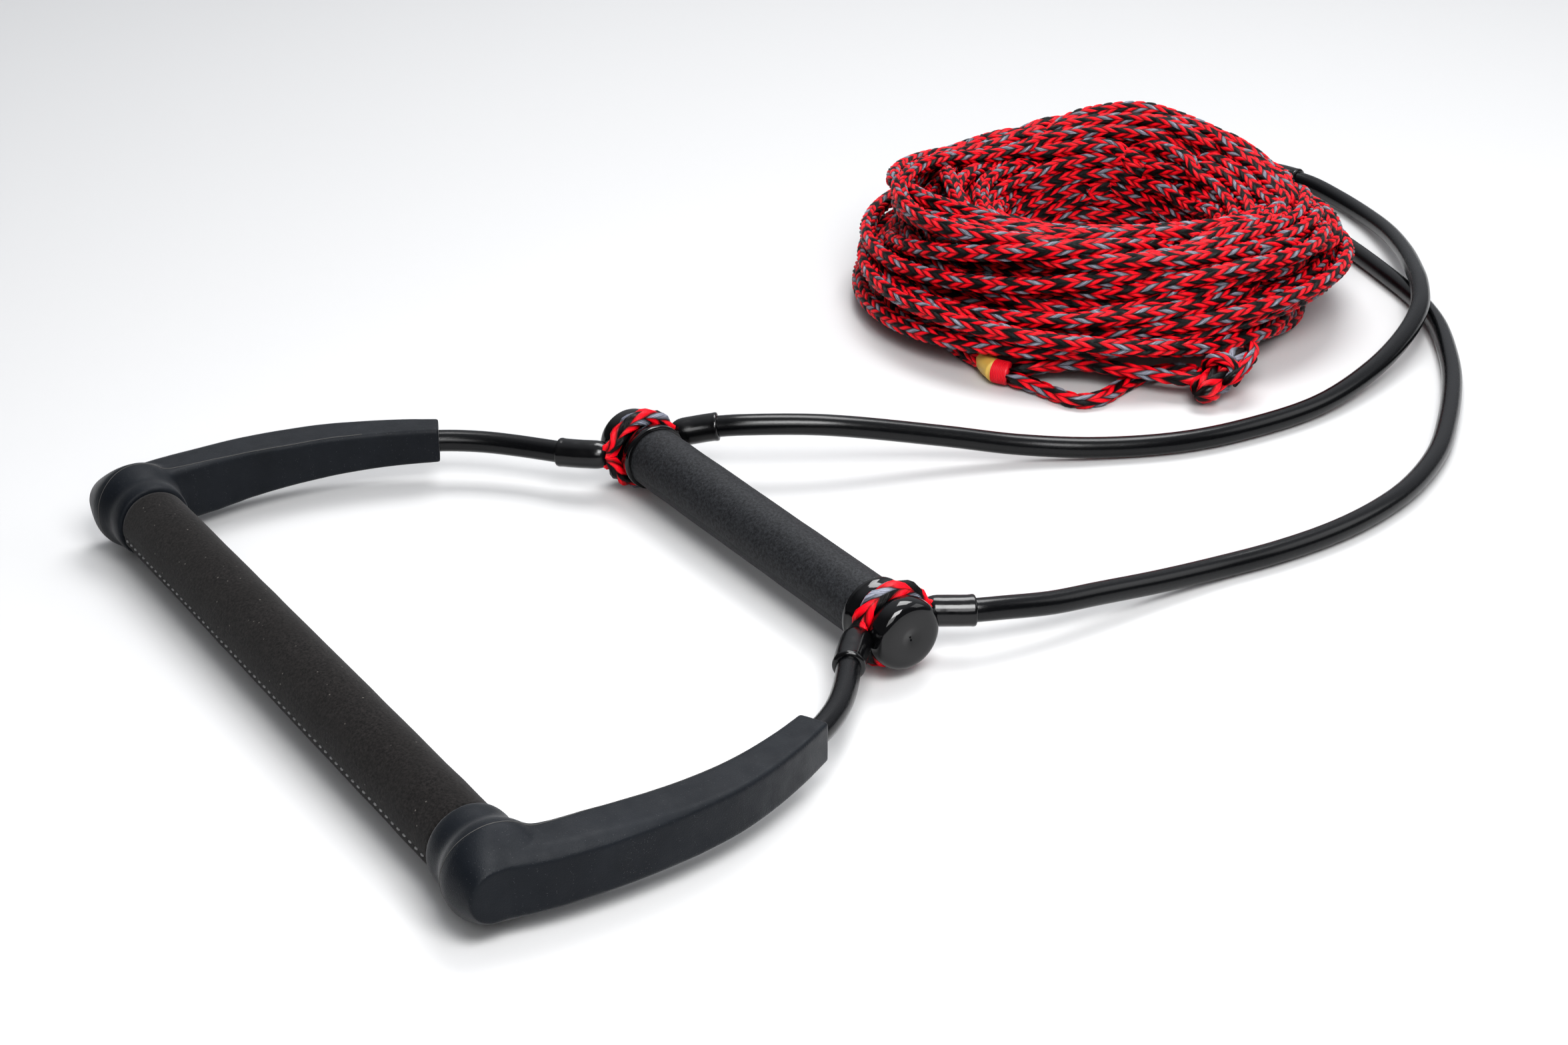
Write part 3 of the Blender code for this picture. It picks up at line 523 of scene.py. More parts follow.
def braid(name, line, half_width, half_height, cell, sectors=8, depth=0.26, twist=None, slant=1.0,
          colours=LEANING, rounded=0.0):
    """A hollow braid round a line.

    Its surface is a grid of strands: each sector is a column of leaning strands, and neighbouring
    columns lean opposite ways, so that two of them make a row of Vs. Strands are raised in their
    middles and sink at their edges. The UVs run along each strand's fibres.
    """
    total = line_length(line)
    rows = int(total / cell) - 1
    cell = total / (rows + 1.0)
    _, across, up = frames_along(line)
    along_line = distances(line)
    columns = sectors * SUBCOLUMNS

    i = np.arange(rows * SUBROWS + 1)[:, None]
    c = np.arange(columns)[None, :]
    lean = (c % (2 * SUBCOLUMNS)) / SUBCOLUMNS
    lean = np.where(lean > 1.0, 2.0 - lean, lean)
    s = (i / SUBROWS + slant * lean + 0.02) * cell
    s = np.clip(s, 0.0, total)
    v = (i % SUBROWS) / SUBROWS
    u = (c % SUBCOLUMNS) / SUBCOLUMNS
    bulge = (4.0 * v * (1.0 - v)) ** 0.5 * (0.30 + 0.70 * (4.0 * u * (1.0 - u)) ** 0.5)
    wobble = 0.5 * np.sin(i * 0.37 + c * 1.7) * np.sin(i * 0.113 + 2.1 * c)
    radial = 1.0 + depth * (bulge - 0.62) + 0.012 * wobble
    if rounded:
        inside = np.clip(np.minimum(s, total - s) / rounded, 0.0, 1.0)
        radial = radial * np.sqrt(1.0 - (1.0 - inside) ** 2)

    turn = TAU * (c + 0.5) / columns
    if twist is not None:
        turn = turn + np.interp(s, along_line, twist)
    centre, side, top = (np.stack([np.interp(s, along_line, values[:, k]) for k in range(3)], axis=-1)
                         for values in (line, across, up))
    offset = (np.cos(turn) * radial)[..., None] * half_width * side
    offset = offset + (np.sin(turn) * radial)[..., None] * half_height * top
    vertices = (centre + offset).reshape(-1, 3)

    quads = grid_quads(rows * SUBROWS + 1, columns)
    row = np.repeat(np.arange(rows), SUBROWS * columns)
    sector = np.tile(np.arange(columns) // SUBCOLUMNS, rows * SUBROWS)
    pair = sector // 2
    step = np.where(sector % 2 == 0, row + pair, row - pair)
    indices = np.array(colours)[step % len(colours)]
    fibre = np.stack(np.broadcast_arrays(c / SUBCOLUMNS, i / SUBROWS), axis=-1).reshape(-1, 2)[quads]
    wrapped = fibre[:, 1:3, 0] < 1.0 / (2 * SUBCOLUMNS)
    fibre[:, 1:3, 0] = np.where(wrapped, float(sectors), fibre[:, 1:3, 0])
    obj = mesh_object(name, vertices, quads, YARNS, indices, fibre.reshape(-1, 2))
    cap_ends(obj, columns, line[0], line[-1])
    return obj


# ---- the coil's turns

TURNS = 46
SLICES = 72  # places round one turn
STRAND_GAP = 0.0077  # strands press together a little
SMOOTHING = 0.18
CLIMB = 0.95  # strands rise along the front towards the right
CLIMB_FROM = math.radians(262.0)
STRAYS = (  # (turn, phase) of strands that lie across the others
    (9.3, 0.4), (16.2, 2.9), (23.6, 5.1), (29.4, 1.2), (34.1, 3.9), (38.3, 0.2),
)
LOOP_HEADROOM = 0.0130  # the front turns lie on the boat's loop and its sleeve
COIL_START = math.radians(115.0)  # where the lead joins the coil's outer turn
COIL_END = math.radians(236.8)  # where the last turn leaves for the yellow sleeve
BLEND_SLICES = 40.0  # the first and last turns ease into their set places
LEAVING_SLICES = (0, 3, 6, 10, 24)  # slices left before the rope leaves, and its radius there
LEAVING_RADII = (0.1143, 0.1010, 0.0945, 0.0910, 0.0890)
RAISED_DEGREES = (224, 240, 288, 301)  # the front turns rise over the loop here
RAISED_FROM_RADIUS = 0.092
RAISED_OVER = 0.012
RELAX_STEPS = 260
PUSH = 0.38  # share of an overlap that one step takes away
COIL_SHAPE = [  # (degrees round the coil, outer radius, inner radius, height, shoulder's roundness)
    (0, 0.131, 0.050, 0.058, 1.5), (20, 0.121, 0.052, 0.062, 1.6), (35, 0.117, 0.054, 0.066, 1.9),
    (55, 0.124, 0.058, 0.069, 2.3), (72, 0.128, 0.066, 0.071, 2.3), (90, 0.121, 0.066, 0.067, 2.3),
    (110, 0.114, 0.060, 0.061, 2.3), (135, 0.114, 0.054, 0.058, 2.3), (160, 0.122, 0.048, 0.064, 2.3),
    (187, 0.131, 0.044, 0.068, 2.1), (200, 0.132, 0.044, 0.068, 2.1), (212, 0.134, 0.046, 0.067, 2.2),
    (224, 0.137, 0.048, 0.066, 2.3), (240, 0.143, 0.048, 0.066, 2.3), (250, 0.143, 0.048, 0.066, 2.3),
    (262, 0.139, 0.047, 0.066, 2.3), (280, 0.132, 0.046, 0.066, 2.3), (305, 0.130, 0.046, 0.064, 2.1),
    (325, 0.136, 0.046, 0.060, 1.8), (342, 0.139, 0.048, 0.057, 1.6),
]
FOOT_ROUNDNESS = 4.5  # the coil's lower edges are squarer than its shoulders


def coil_room(angle):
    """Middle radius, half width, half height and shoulder of the room for the turns, at angles round it."""
    table = np.array(COIL_SHAPE)
    degrees = np.degrees(angle) % 360.0
    outer, inner, height, shoulder = (np.interp(degrees, table[:, 0], table[:, k], period=360.0)
                                      for k in (1, 2, 3, 4))
    margin = TOW_ROPE_R
    return (outer + inner) / 2, (outer - inner) / 2 - margin, height / 2 - margin, shoulder


def coil_turns():
    """The rope's centre line through the coil: strands wander slowly and push each other apart."""
    random = np.random.default_rng(11)
    count = int(round((TURNS + (COIL_END - COIL_START) / TAU) * SLICES))
    n = np.arange(count)
    angle = COIL_START + TAU * n / SLICES
    middle, half_width, half_height, shoulder = coil_room(angle)

    def wander(cycles):
        """A smooth random walk between -1 and 1 along the rope."""
        total = np.zeros(count)
        for rate in cycles:
            knots = random.uniform(-1.0, 1.0, int(count / SLICES * rate) + 6)
            place = n / SLICES * rate
            base = np.floor(place).astype(int)
            t = place - base
            t = t * t * (3.0 - 2.0 * t)
            total += knots[base] * (1.0 - t) + knots[base + 1] * t
        return total / len(cycles) ** 0.5

    across = wander((0.9, 0.9, 2.1)) * 1.25
    upward = wander((0.8, 0.8, 1.9)) * 1.10 + CLIMB * (0.6 + wander((0.3,))) * np.sin(angle - CLIMB_FROM)
    for turn, phase in STRAYS:
        stray = np.clip(1.6 - np.abs(n / SLICES - turn) / 0.42, 0.0, 1.0)
        across += stray * (0.95 * np.sin(1.8 * angle + phase) - across)
        upward += stray * (1.15 - upward)
    across, upward = np.clip(across, -1.0, 1.0), np.clip(upward, -1.0, 1.15)
    radius = middle + across * half_width
    height = TOW_ROPE_R + half_height * (1.0 + upward)

    start = np.clip(1.0 - n / BLEND_SLICES, 0.0, 1.0)
    radius = radius * (1.0 - start) + (middle + half_width) * start
    height = height * (1.0 - start) + 0.012 * start
    left = count - 1 - n
    end = np.clip(1.4 - left / BLEND_SLICES, 0.0, 1.0)
    leaving = np.interp(left, LEAVING_SLICES, LEAVING_RADII)
    radius = radius * (1.0 - end) + leaving * end
    height = height * (1.0 - end) + (TOW_ROPE_R + 0.0012) * end
    held = np.maximum(start > 0.9, end >= 1.0)

    degrees = np.degrees(angle) % 360.0
    raised = np.interp(degrees, RAISED_DEGREES, (0.0, 1.0, 1.0, 0.0))
    rows = int(math.ceil(count / SLICES))
    missing = rows * SLICES - count
    aim_radius, aim_height = radius.copy(), height.copy()
    eye = np.eye(rows, dtype=bool)
    for _ in range(RELAX_STEPS):
        r = np.append(radius, np.full(missing, 9.0)).reshape(rows, SLICES).T
        z = np.append(height, np.linspace(5.0, 9.0, missing)).reshape(rows, SLICES).T
        dr = r[:, :, None] - r[:, None, :]
        dz = z[:, :, None] - z[:, None, :]
        apart = np.sqrt(dr * dr + dz * dz) + 1e-9
        overlap = np.clip(STRAND_GAP - apart, 0.0, None)
        overlap[:, eye] = 0.0
        push_r = (overlap * dr / apart).sum(axis=2).T.ravel()[:count]
        push_z = (overlap * dz / apart).sum(axis=2).T.ravel()[:count]
        radius += PUSH * push_r
        height += PUSH * push_z
        for values in (radius, height):
            weighed = values[:-4] + 4 * values[1:-3] + 6 * values[2:-2] + 4 * values[3:-1] + values[4:]
            values[2:-2] += SMOOTHING * (weighed / 16 - values[2:-2])
        a = (radius - middle) / half_width
        b = (height - TOW_ROPE_R - half_height) / half_height
        power = np.where(b > 0.0, shoulder, FOOT_ROUNDNESS)
        outside = np.maximum((np.abs(a) ** power + np.abs(b) ** power) ** (1.0 / power), 1.0)
        radius += 0.5 * (middle + a / outside * half_width - radius)
        height += 0.5 * (TOW_ROPE_R + half_height + b / outside * half_height - height)
        over_loop = raised * np.clip((radius - RAISED_FROM_RADIUS) / RAISED_OVER, 0.0, 1.0)
        height = np.maximum(height, TOW_ROPE_R + 0.0002 + LOOP_HEADROOM * over_loop)
        radius = np.where(held, aim_radius, radius)
        height = np.where(held, aim_height, height)

    long_axis = np.array([math.cos(COIL_TURN), math.sin(COIL_TURN)])
    short_axis = np.array([-math.sin(COIL_TURN), math.cos(COIL_TURN)])
    centre = np.array(at(*COIL_CENTRE, 0.0)[:2])
    outward = np.cos(angle)[:, None] * long_axis + np.sin(angle)[:, None] * short_axis
    return np.column_stack([centre + radius[:, None] * outward, height])


# ---- cords

LEFT_LEG_ROUTE = [
    (-92.8, 218.0, 19.6), (-92.8, 223.6, 21.4), (-90.8, 227.5, 22.1), (-88.0, 232.0, 23.1),
    (-83.8, 237.8, 24.2), (-78.0, 245.0, 25.2), (-60.0, 275.5, 24.5), (-39.4, 324.4, 15.0),
    (-24.5, 356.0, 8.5), (-7.6, 387.6, 5.6), (7.5, 424.0, 5.2), (12.9, 461.3, 5.2),
    (11.5, 503.0, 5.6), (0.0, 547.0, 8.5), (-15.9, 583.4, 12.2), (-32.8, 609.6, 15.0),
    (-53.6, 630.3, 15.8), (-72.5, 645.7, 14.4), (-99.1, 665.5, 11.6), (-130.9, 684.7, 8.6),
    (-161.1, 697.4, 6.4), (-188.1, 704.2, 6.0), (-211.0, 706.3, 6.7), (-226.0, 704.5, 6.7),
    (-237.0, 701.0, 6.7), (-245.0, 696.5, 6.8), (-251.0, 692.5, 7.2), (-256.5, 688.5, 7.8),
]
RIGHT_LEG_ROUTE = [
    (92.8, 218.0, 18.5), (94.0, 223.2, 18.2), (96.5, 228.5, 17.9), (99.2, 233.0, 17.8),
    (102.0, 238.2, 17.8), (104.5, 248.0, 17.0), (107.8, 270.0, 14.2), (108.4, 293.1, 11.8),
    (108.2, 324.0, 8.0), (108.7, 354.8, 5.6), (111.0, 386.0, 5.2), (110.5, 417.2, 5.2),
    (106.0, 446.0, 5.2), (97.2, 474.5, 5.2), (80.0, 508.0, 5.2), (57.3, 538.4, 5.2),
    (23.2, 576.3, 5.2), (-1.2, 598.1, 5.2), (-28.2, 618.6, 5.2), (-50.2, 630.8, 5.2),
    (-68.7, 638.5, 5.2), (-90.7, 645.8, 5.2), (-112.5, 652.5, 5.2), (-140.0, 660.0, 5.2),
    (-175.0, 667.2, 5.6), (-195.0, 670.2, 6.4), (-212.0, 672.6, 6.7), (-226.0, 675.0, 6.7),
    (-237.0, 678.0, 6.7), (-246.0, 682.0, 7.0), (-254.5, 687.0, 7.8),
]
JUNCTION = (-0.2575, 0.6880, 0.0080)
LEAD_ROUTE = [
    (-259.0, 687.0, 7.5), (-268.0, 681.5, 6.0), (-274.0, 669.0, 4.6), (-277.5, 645.0, 4.5),
    (-279.5, 615.0, 5.0), (-280.0, 587.0, 6.6), (-278.5, 568.0, 9.0),
]
BOAT_LOOP_ROUTE = [
    (-94.5, 401.0, 5.6), (-88.5, 404.0, 4.8), (-80.0, 408.0, 4.0), (-66.9, 411.3, 3.4),
    (-55.9, 415.5, 3.3), (-52.8, 426.2, 3.4), (-57.5, 441.8, 3.6), (-60.0, 456.0, 4.4),
    (-56.0, 468.0, 6.0), (-48.0, 474.0, 7.6), (-40.0, 474.0, 8.8), (-35.0, 468.0, 9.6),
    (-40.0, 461.0, 9.8), (-50.0, 453.0, 10.4), (-62.0, 442.0, 11.2), (-74.0, 433.0, 11.2),
    (-85.0, 420.0, 9.6), (-90.5, 409.0, 8.4), (-94.5, 404.5, 8.0),
]
WHIPPING_ROUTE = [
    (-99.2, 399.8, 6.6), (-96.2, 401.2, 6.6), (-93.0, 403.0, 6.6),
]
LINE_SLEEVE_ROUTE = [
    (-118.5, 407.5, 5.8), (-109.0, 403.0, 5.8), (-98.5, 400.0, 6.2),
]
KNOT_ROUTE = [
    (-24.0, 458.0, 7.8), (-26.2, 469.0, 9.0), (-28.5, 479.0, 11.2), (-30.0, 488.0, 15.0),
    (-31.0, 495.0, 20.0),
]
KNOT_TURN_ROUTE = [
    (-19.0, 478.0, 9.0), (-22.5, 480.0, 17.5), (-30.0, 477.0, 20.0), (-36.5, 476.0, 15.0),
    (-37.0, 480.0, 8.0),
]
KNOT_TAIL_ROUTE = [
    (-20.5, 472.0, 11.0), (-20.0, 480.0, 15.0), (-22.0, 488.0, 18.5), (-27.0, 495.0, 20.0),
    (-35.0, 499.0, 20.5),
]


def route_line(route, spacing=0.0015, side=1):
    return smooth_route(placed(route, side), spacing)


def leg_line(side):
    return route_line(LEFT_LEG_ROUTE if side < 0 else RIGHT_LEG_ROUTE, 0.002)


def refined(line):
    """Twice as many points, on the smooth curve that the given ones outline."""
    finer = np.empty((2 * len(line) - 1, 3))
    finer[1::2] = (line[:-1] + line[1:]) / 2
    finer[2:-2:2] = (line[:-2] + 6 * line[1:-1] + line[2:]) / 8
    finer[0] = line[0]
    finer[-1] = line[-1]
    return finer


def slow_twist(line, reach, seed):
    """How the braid turns about its line: it drifts to and fro by a few radians."""
    random = np.random.default_rng(seed)
    along = distances(line)
    knots = np.arange(0.0, along[-1] + 0.3, 0.16)
    return np.interp(along, knots, np.cumsum(random.uniform(-reach, reach, len(knots))))


def make_legs():
    """The two long hoses between the second bar and the legs' knot."""
    for side, hand in SIDES:
        line = leg_line(side)
        far_nose = line_length(line) - JUNCTION_TAIL
        start = NOSE_FROM_EYE + HOSE_END
        end = far_nose - HOSE_END
        hose = tube(hand + "_leg_cord", evenly(line, start, end, 0.003), HOSE_R, MATERIALS["hose"])
        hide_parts(hand + "_leg_hose")
        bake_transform(hose)


def make_tow_rope():
    """One braid from the legs' knot, through the coil's turns, into the yellow sleeve."""
    lead = route_line(LEAD_ROUTE, 0.008)
    line = refined(refined(np.vstack([lead, coil_turns()[1:], placed(LINE_SLEEVE_ROUTE)[1:]])))
    rope = braid("tow_rope", line, TOW_ROPE_R, TOW_ROPE_R, 0.0056, twist=slow_twist(line, 0.8, 5))
    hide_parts("rope_coil", "tow_rope_lead")
    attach(rope, "tow_line")
    return rope, line


# ---- arms

ARM_ROUTE = [
    (163.2, -2.0, 18.3), (166.8, 15.0, 18.3), (168.5, 33.0, 18.4), (169.0, 52.0, 18.8),
    (167.5, 72.0, 18.9), (165.1, 87.0, 19.0), (160.3, 103.4, 19.1), (154.3, 118.5, 19.1),
    (147.4, 132.8, 19.0),
]
ARM_HALF_WIDTHS = (0.0101, 0.0103, 0.0101, 0.0097, 0.0094, 0.0089, 0.0081, 0.0072, 0.0063)
ARM_HALF_HEIGHTS = (0.0132, 0.0127, 0.0120, 0.0110, 0.0100, 0.0094, 0.0088, 0.0084, 0.0081)
ARM_FACE_HALF_HEIGHTS = (0.0096, 0.0090, 0.0086, 0.0086, 0.0086, 0.0083, 0.0079, 0.0076, 0.0074)
INNER_BEVEL = 0.0022
MELT_VOXEL = 0.0007
FILLET_CENTRE = (0.1580, 0.0165)  # (x, from the bar's axis) of the fillet between corner and arm
FILLET_REACH = 0.018
FILLET_END_X = 0.1700  # the fillet fades out before the flat face
FILLET_FADE = 0.006
CORNER_PROFILE = [  # (x, radius)
    (0.1402, 0.0150), (0.1422, 0.0156), (0.1450, 0.0158), (0.1478, 0.0156),
    (0.1500, 0.0156), (0.1524, 0.0163), (0.1550, 0.0175), (0.1578, 0.0182),
    (0.1605, 0.0184),
]
FACE_X = 0.1738  # the corner's flat outer face
FACE_R = 0.0096
FACE_FRONT = -0.0060  # middle of the face's rounded front end, from the bar's axis
FACE_BACK = 0.0100
PARTING_R = 0.00016  # the mould's parting line stands out a little
PARTING_SEARCH = 0.03  # places on it are found from this far outside
PARTING_ON_CORNER = [  # (x, degrees round the bar from its front)
    (0.1562, -42.0), (0.1560, -15.0), (0.1566, 15.0), (0.1578, 45.0), (0.1592, 72.0),
]
PARTING_ON_ARM = [  # (x, from the bar's axis)
    (0.1600, 0.010), (0.1603, 0.024), (0.1604, 0.038), (0.1605, 0.054), (0.1596, 0.070),
    (0.1578, 0.086), (0.1545, 0.100),
]
ROPE_ROUTE = [
    (0.0, 0.0, 18.5), (130.0, 0.0, 18.5), (151.0, 0.0, 18.5), (157.0, 1.2, 18.4),
    (162.2, 5.0, 18.2), (165.2, 11.0, 18.0), *ARM_ROUTE[2:], (142.0, 142.0, 18.7),
    (135.0, 151.2, 18.3), (126.1, 160.2, 17.9), (116.8, 168.1, 17.7), (110.8, 172.8, 17.7),
    (105.0, 178.0, 17.9), (96.8, 186.2, 18.4), (93.0, 189.3, 18.5),
]


def add_corner(bm, side):
    """The moulded corner: turned about the bar, then blending into its flat, lengthened outer face."""
    profile = smooth_profile(CORNER_PROFILE, 0.0012)
    rings = turned_rings(bm, [(side * x, r) for x, r in profile], MAIN_BAR_Y, TURNED_ANGLES)
    bulge_x, bulge_r = profile[-1]
    for x in np.linspace(bulge_x, FACE_X, 12)[1:]:
        share = ((x - bulge_x) / (FACE_X - bulge_x)) ** 1.3
        ring = []
        for a in TURNED_ANGLES:
            bulk = np.array((bulge_r * math.cos(a), bulge_r * math.sin(a)))
            middle = FACE_BACK if math.cos(a) > 0.0 else FACE_FRONT
            face = np.array((middle + FACE_R * math.cos(a), FACE_R * math.sin(a)))
            y, z = bulk + share * (face - bulk)
            ring.append(bm.verts.new((side * x, MAIN_BAR_Y + y, BAR_Z + z)))
        rings.append(ring)
    close_rings(bm, rings)


def smooth_profile(profile, spacing):
    line = smooth_route([(x, r, 0.0) for x, r in profile], spacing)
    return [(x, r) for x, r, _ in line]


def arm_section(width, height, face_height, side):
    """Points round the arm's section. Its top and bottom roll down to a lower, crisp-edged outer face."""
    run = min(1.7 * (height - face_height), width)
    roll = []
    for step in range(7):
        t = step / 6.0
        roll.append((width - run * t, height - (height - face_height) * (1.0 - t) ** 2))
    points = [(x, -z) for x, z in reversed(roll)] + roll
    for b, first in ((1, 90.0), (-1, 180.0)):
        for step in range(4):
            angle = math.radians(first + 30.0 * step)
            points.append((-(width - INNER_BEVEL) + INNER_BEVEL * math.cos(angle),
                           b * (height - INNER_BEVEL) + INNER_BEVEL * math.sin(angle)))
    return [(side * x, z) for x, z in points]


def evaluated(obj):
    """Apply an object's modifiers."""
    depsgraph = bpy.context.evaluated_depsgraph_get()
    mesh = bpy.data.meshes.new_from_object(obj.evaluated_get(depsgraph))
    obj.modifiers.clear()
    old = obj.data
    obj.data = mesh
    bpy.data.meshes.remove(old)


def arm_mesh(side):
    """The corner and the arm melted into one moulding, with its edges softened."""
    bm = bmesh.new()
    add_corner(bm, side)
    line = route_line(ARM_ROUTE, 0.003, side)
    along = np.linspace(0.0, 1.0, len(ARM_HALF_WIDTHS))
    rings = []
    tangents = np.gradient(line, axis=0)
    across = np.cross(tangents, UP)
    across /= np.linalg.norm(across, axis=1)[:, None]
    for i, point in enumerate(line):
        t = i / (len(line) - 1)
        width = float(np.interp(t, along, ARM_HALF_WIDTHS))
        height = float(np.interp(t, along, ARM_HALF_HEIGHTS))
        face_height = float(np.interp(t, along, ARM_FACE_HALF_HEIGHTS))
        section = arm_section(width, height, face_height, side)
        rings.append([bm.verts.new(point + a * across[i] + b * np.array(UP)) for a, b in section])
    close_rings(bm, rings)
    return bm


def make_arm(side, hand):
    """Melt the moulding's parts into one skin, then smooth a wide fillet where arm and corner meet."""
    arm = bmesh_object(hand + "_arm_moulding", arm_mesh(side), MATERIALS["rubber"])
    remesh = arm.modifiers.new("melt", "REMESH")
    remesh.mode = "VOXEL"
    remesh.voxel_size = MELT_VOXEL
    remesh.use_smooth_shade = True
    soften = arm.modifiers.new("soften", "SMOOTH")
    soften.factor = 0.5
    soften.iterations = 5
    evaluated(arm)
    places = np.empty(len(arm.data.vertices) * 3, np.float32)
    arm.data.vertices.foreach_get("co", places)
    places = places.reshape(-1, 3)
    away = np.hypot(side * places[:, 0] - FILLET_CENTRE[0], places[:, 1] - MAIN_BAR_Y - FILLET_CENTRE[1])
    weights = np.clip(1.0 - away / FILLET_REACH, 0.0, 1.0)
    weights *= np.clip((FILLET_END_X - side * places[:, 0]) / FILLET_FADE, 0.0, 1.0)
    group = arm.vertex_groups.new(name="blend")
    for i in np.nonzero(weights > 0.01)[0]:
        group.add([int(i)], float(weights[i]), "REPLACE")
    fillet = arm.modifiers.new("fillet", "SMOOTH")
    fillet.vertex_group = "blend"
    fillet.factor = 0.5
    fillet.iterations = 90
    evaluated(arm)
    arm.data.materials.clear()
    arm.data.materials.append(MATERIALS["rubber"])
    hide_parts(hand + "_arm")
    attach(arm, "main_handle")
    make_parting_line(arm, side, hand)


def make_parting_line(arm, side, hand):
    """The mould's fine ridge, over the corner and along the arm's top."""
    outside = []
    for x, degrees in PARTING_ON_CORNER:
        angle = math.radians(degrees)
        outside.append((side * x, MAIN_BAR_Y - PARTING_SEARCH * math.cos(angle),
                        BAR_Z + PARTING_SEARCH * math.sin(angle)))
    for x, y in PARTING_ON_ARM:
        outside.append(at(side * x, y, BAR_Z + PARTING_SEARCH))
    line = []
    for point in smooth_route(outside, 0.0015):
        inward = Vector((0.0, MAIN_BAR_Y - point[1], BAR_Z - point[2]))
        if point[1] > MAIN_BAR_Y:
            inward = -Vector(UP)
        hit, place, _, _ = arm.ray_cast(Vector(point), inward.normalized())
        if hit:
            line.append(place)
    ridge = tube(hand + "_parting_line", np.array(line), PARTING_R, MATERIALS["flash"], 8)
    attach(ridge, "main_handle")


# ---- grips and caps

GRIP_END = 0.1405
SUEDE_R = 0.0140
FOAM_R = 0.0130
FOAM_END = 0.0817
STITCH_PITCH = 0.0045
STITCH_ANGLE = math.radians(190.0)  # round the bar from +Y, over the top
FLAP_ANGLE = math.radians(199.0)
FOAM_SEAM_ANGLE = math.radians(193.0)
CAP_PROFILE = [  # (x, radius)
    (0.0816, 0.0100), (0.0816, 0.0139), (0.0818, 0.0143), (0.0822, 0.0145),
    (0.0833, 0.0145), (0.0838, 0.0142), (0.0850, 0.0140), (0.0868, 0.0137),
    (0.0882, 0.0131), (0.0894, 0.0120), (0.0908, 0.0110), (0.0928, 0.0104),
    (0.0948, 0.0104), (0.0964, 0.0114), (0.0974, 0.0129), (0.0987, 0.0140),
    (0.1006, 0.0145), (0.1032, 0.0145), (0.1050, 0.0142), (0.1062, 0.0136),
    (0.1071, 0.0126), (0.1076, 0.0114), (0.1078, 0.0098), (0.1078, 0.0048),
    (0.1077, 0.0040), (0.1075, 0.0032), (0.1073, 0.0025), (0.1071, 0.0018),
    (0.1069, 0.0011), (0.1067, 0.0006), (0.1066, 0.0),
]


def on_bar(x, angle, radius, centre_y=MAIN_BAR_Y):
    """A place round a bar's axis, its angle taken from +Y over the top."""
    return np.array((x, centre_y + radius * math.cos(angle), BAR_Z + radius * math.sin(angle)))


def angle_from(angles, middle):
    """Signed angles from one place round a bar, between minus and plus half a turn."""
    return np.angle(np.exp(1j * (angles - middle)))


def grip_tube(name, xs, angles, radius, centre_y, material):
    """A closed sleeve on a bar, from its radius at each place along and round it."""
    vertices = np.stack([np.broadcast_to(xs[:, None], radius.shape),
                         centre_y + radius * np.cos(angles), BAR_Z + radius * np.sin(angles)], axis=-1)
    grip = mesh_object(name, vertices.reshape(-1, 3), grid_quads(len(xs), len(angles)), [material])
    cap_ends(grip, len(angles), (xs[0], centre_y, BAR_Z), (xs[-1], centre_y, BAR_Z))
    return grip


def make_main_grip():
    """Suede sleeve, sewn along the bar's front underside, with the flap's cut edge beside the stitches."""
    xs = np.linspace(-GRIP_END, GRIP_END, 188)
    angles = np.linspace(0.0, TAU, 160, endpoint=False)
    random = np.random.default_rng(3)
    offset = angle_from(angles, FLAP_ANGLE)
    edge = 1.0 + np.exp(-np.clip(offset / 0.012, -40, 40))
    flap = 0.00045 / edge * np.exp(-np.clip(offset, 0.0, 9.0) / 0.5)
    pull = -0.00022 * np.exp(-(angle_from(angles, STITCH_ANGLE) / 0.05) ** 2)
    wave = 0.00010 * np.interp(xs, np.linspace(xs[0], xs[-1], 24), random.uniform(-1.0, 1.0, 24))
    radius = SUEDE_R + flap[None, :] + pull[None, :] + wave[:, None]
    ends = np.minimum(1.0, (GRIP_END - np.abs(xs)) / 0.0015)
    radius -= 0.0008 * (1.0 - ends[:, None]) ** 2
    grip = grip_tube("suede_grip", xs, angles, radius, MAIN_BAR_Y, MATERIALS["suede"])
    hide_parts("main_grip_suede")
    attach(grip, "main_handle")

    bm = bmesh.new()
    count = int(2 * 0.1385 / STITCH_PITCH)
    for k in range(count):
        x = (k - (count - 1) / 2) * STITCH_PITCH
        middle = on_bar(x, STITCH_ANGLE + random.uniform(-0.012, 0.012), SUEDE_R + 0.00005)
        stitch = bmesh.ops.create_uvsphere(bm, u_segments=10, v_segments=6, radius=0.00050)
        bmesh.ops.scale(bm, vec=(2.1, 1.0, 1.0), verts=stitch["verts"])
        bmesh.ops.translate(bm, vec=middle, verts=stitch["verts"])
    stitches = bmesh_object("grip_stitches", bm, MATERIALS["stitch"])
    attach(stitches, "main_handle")


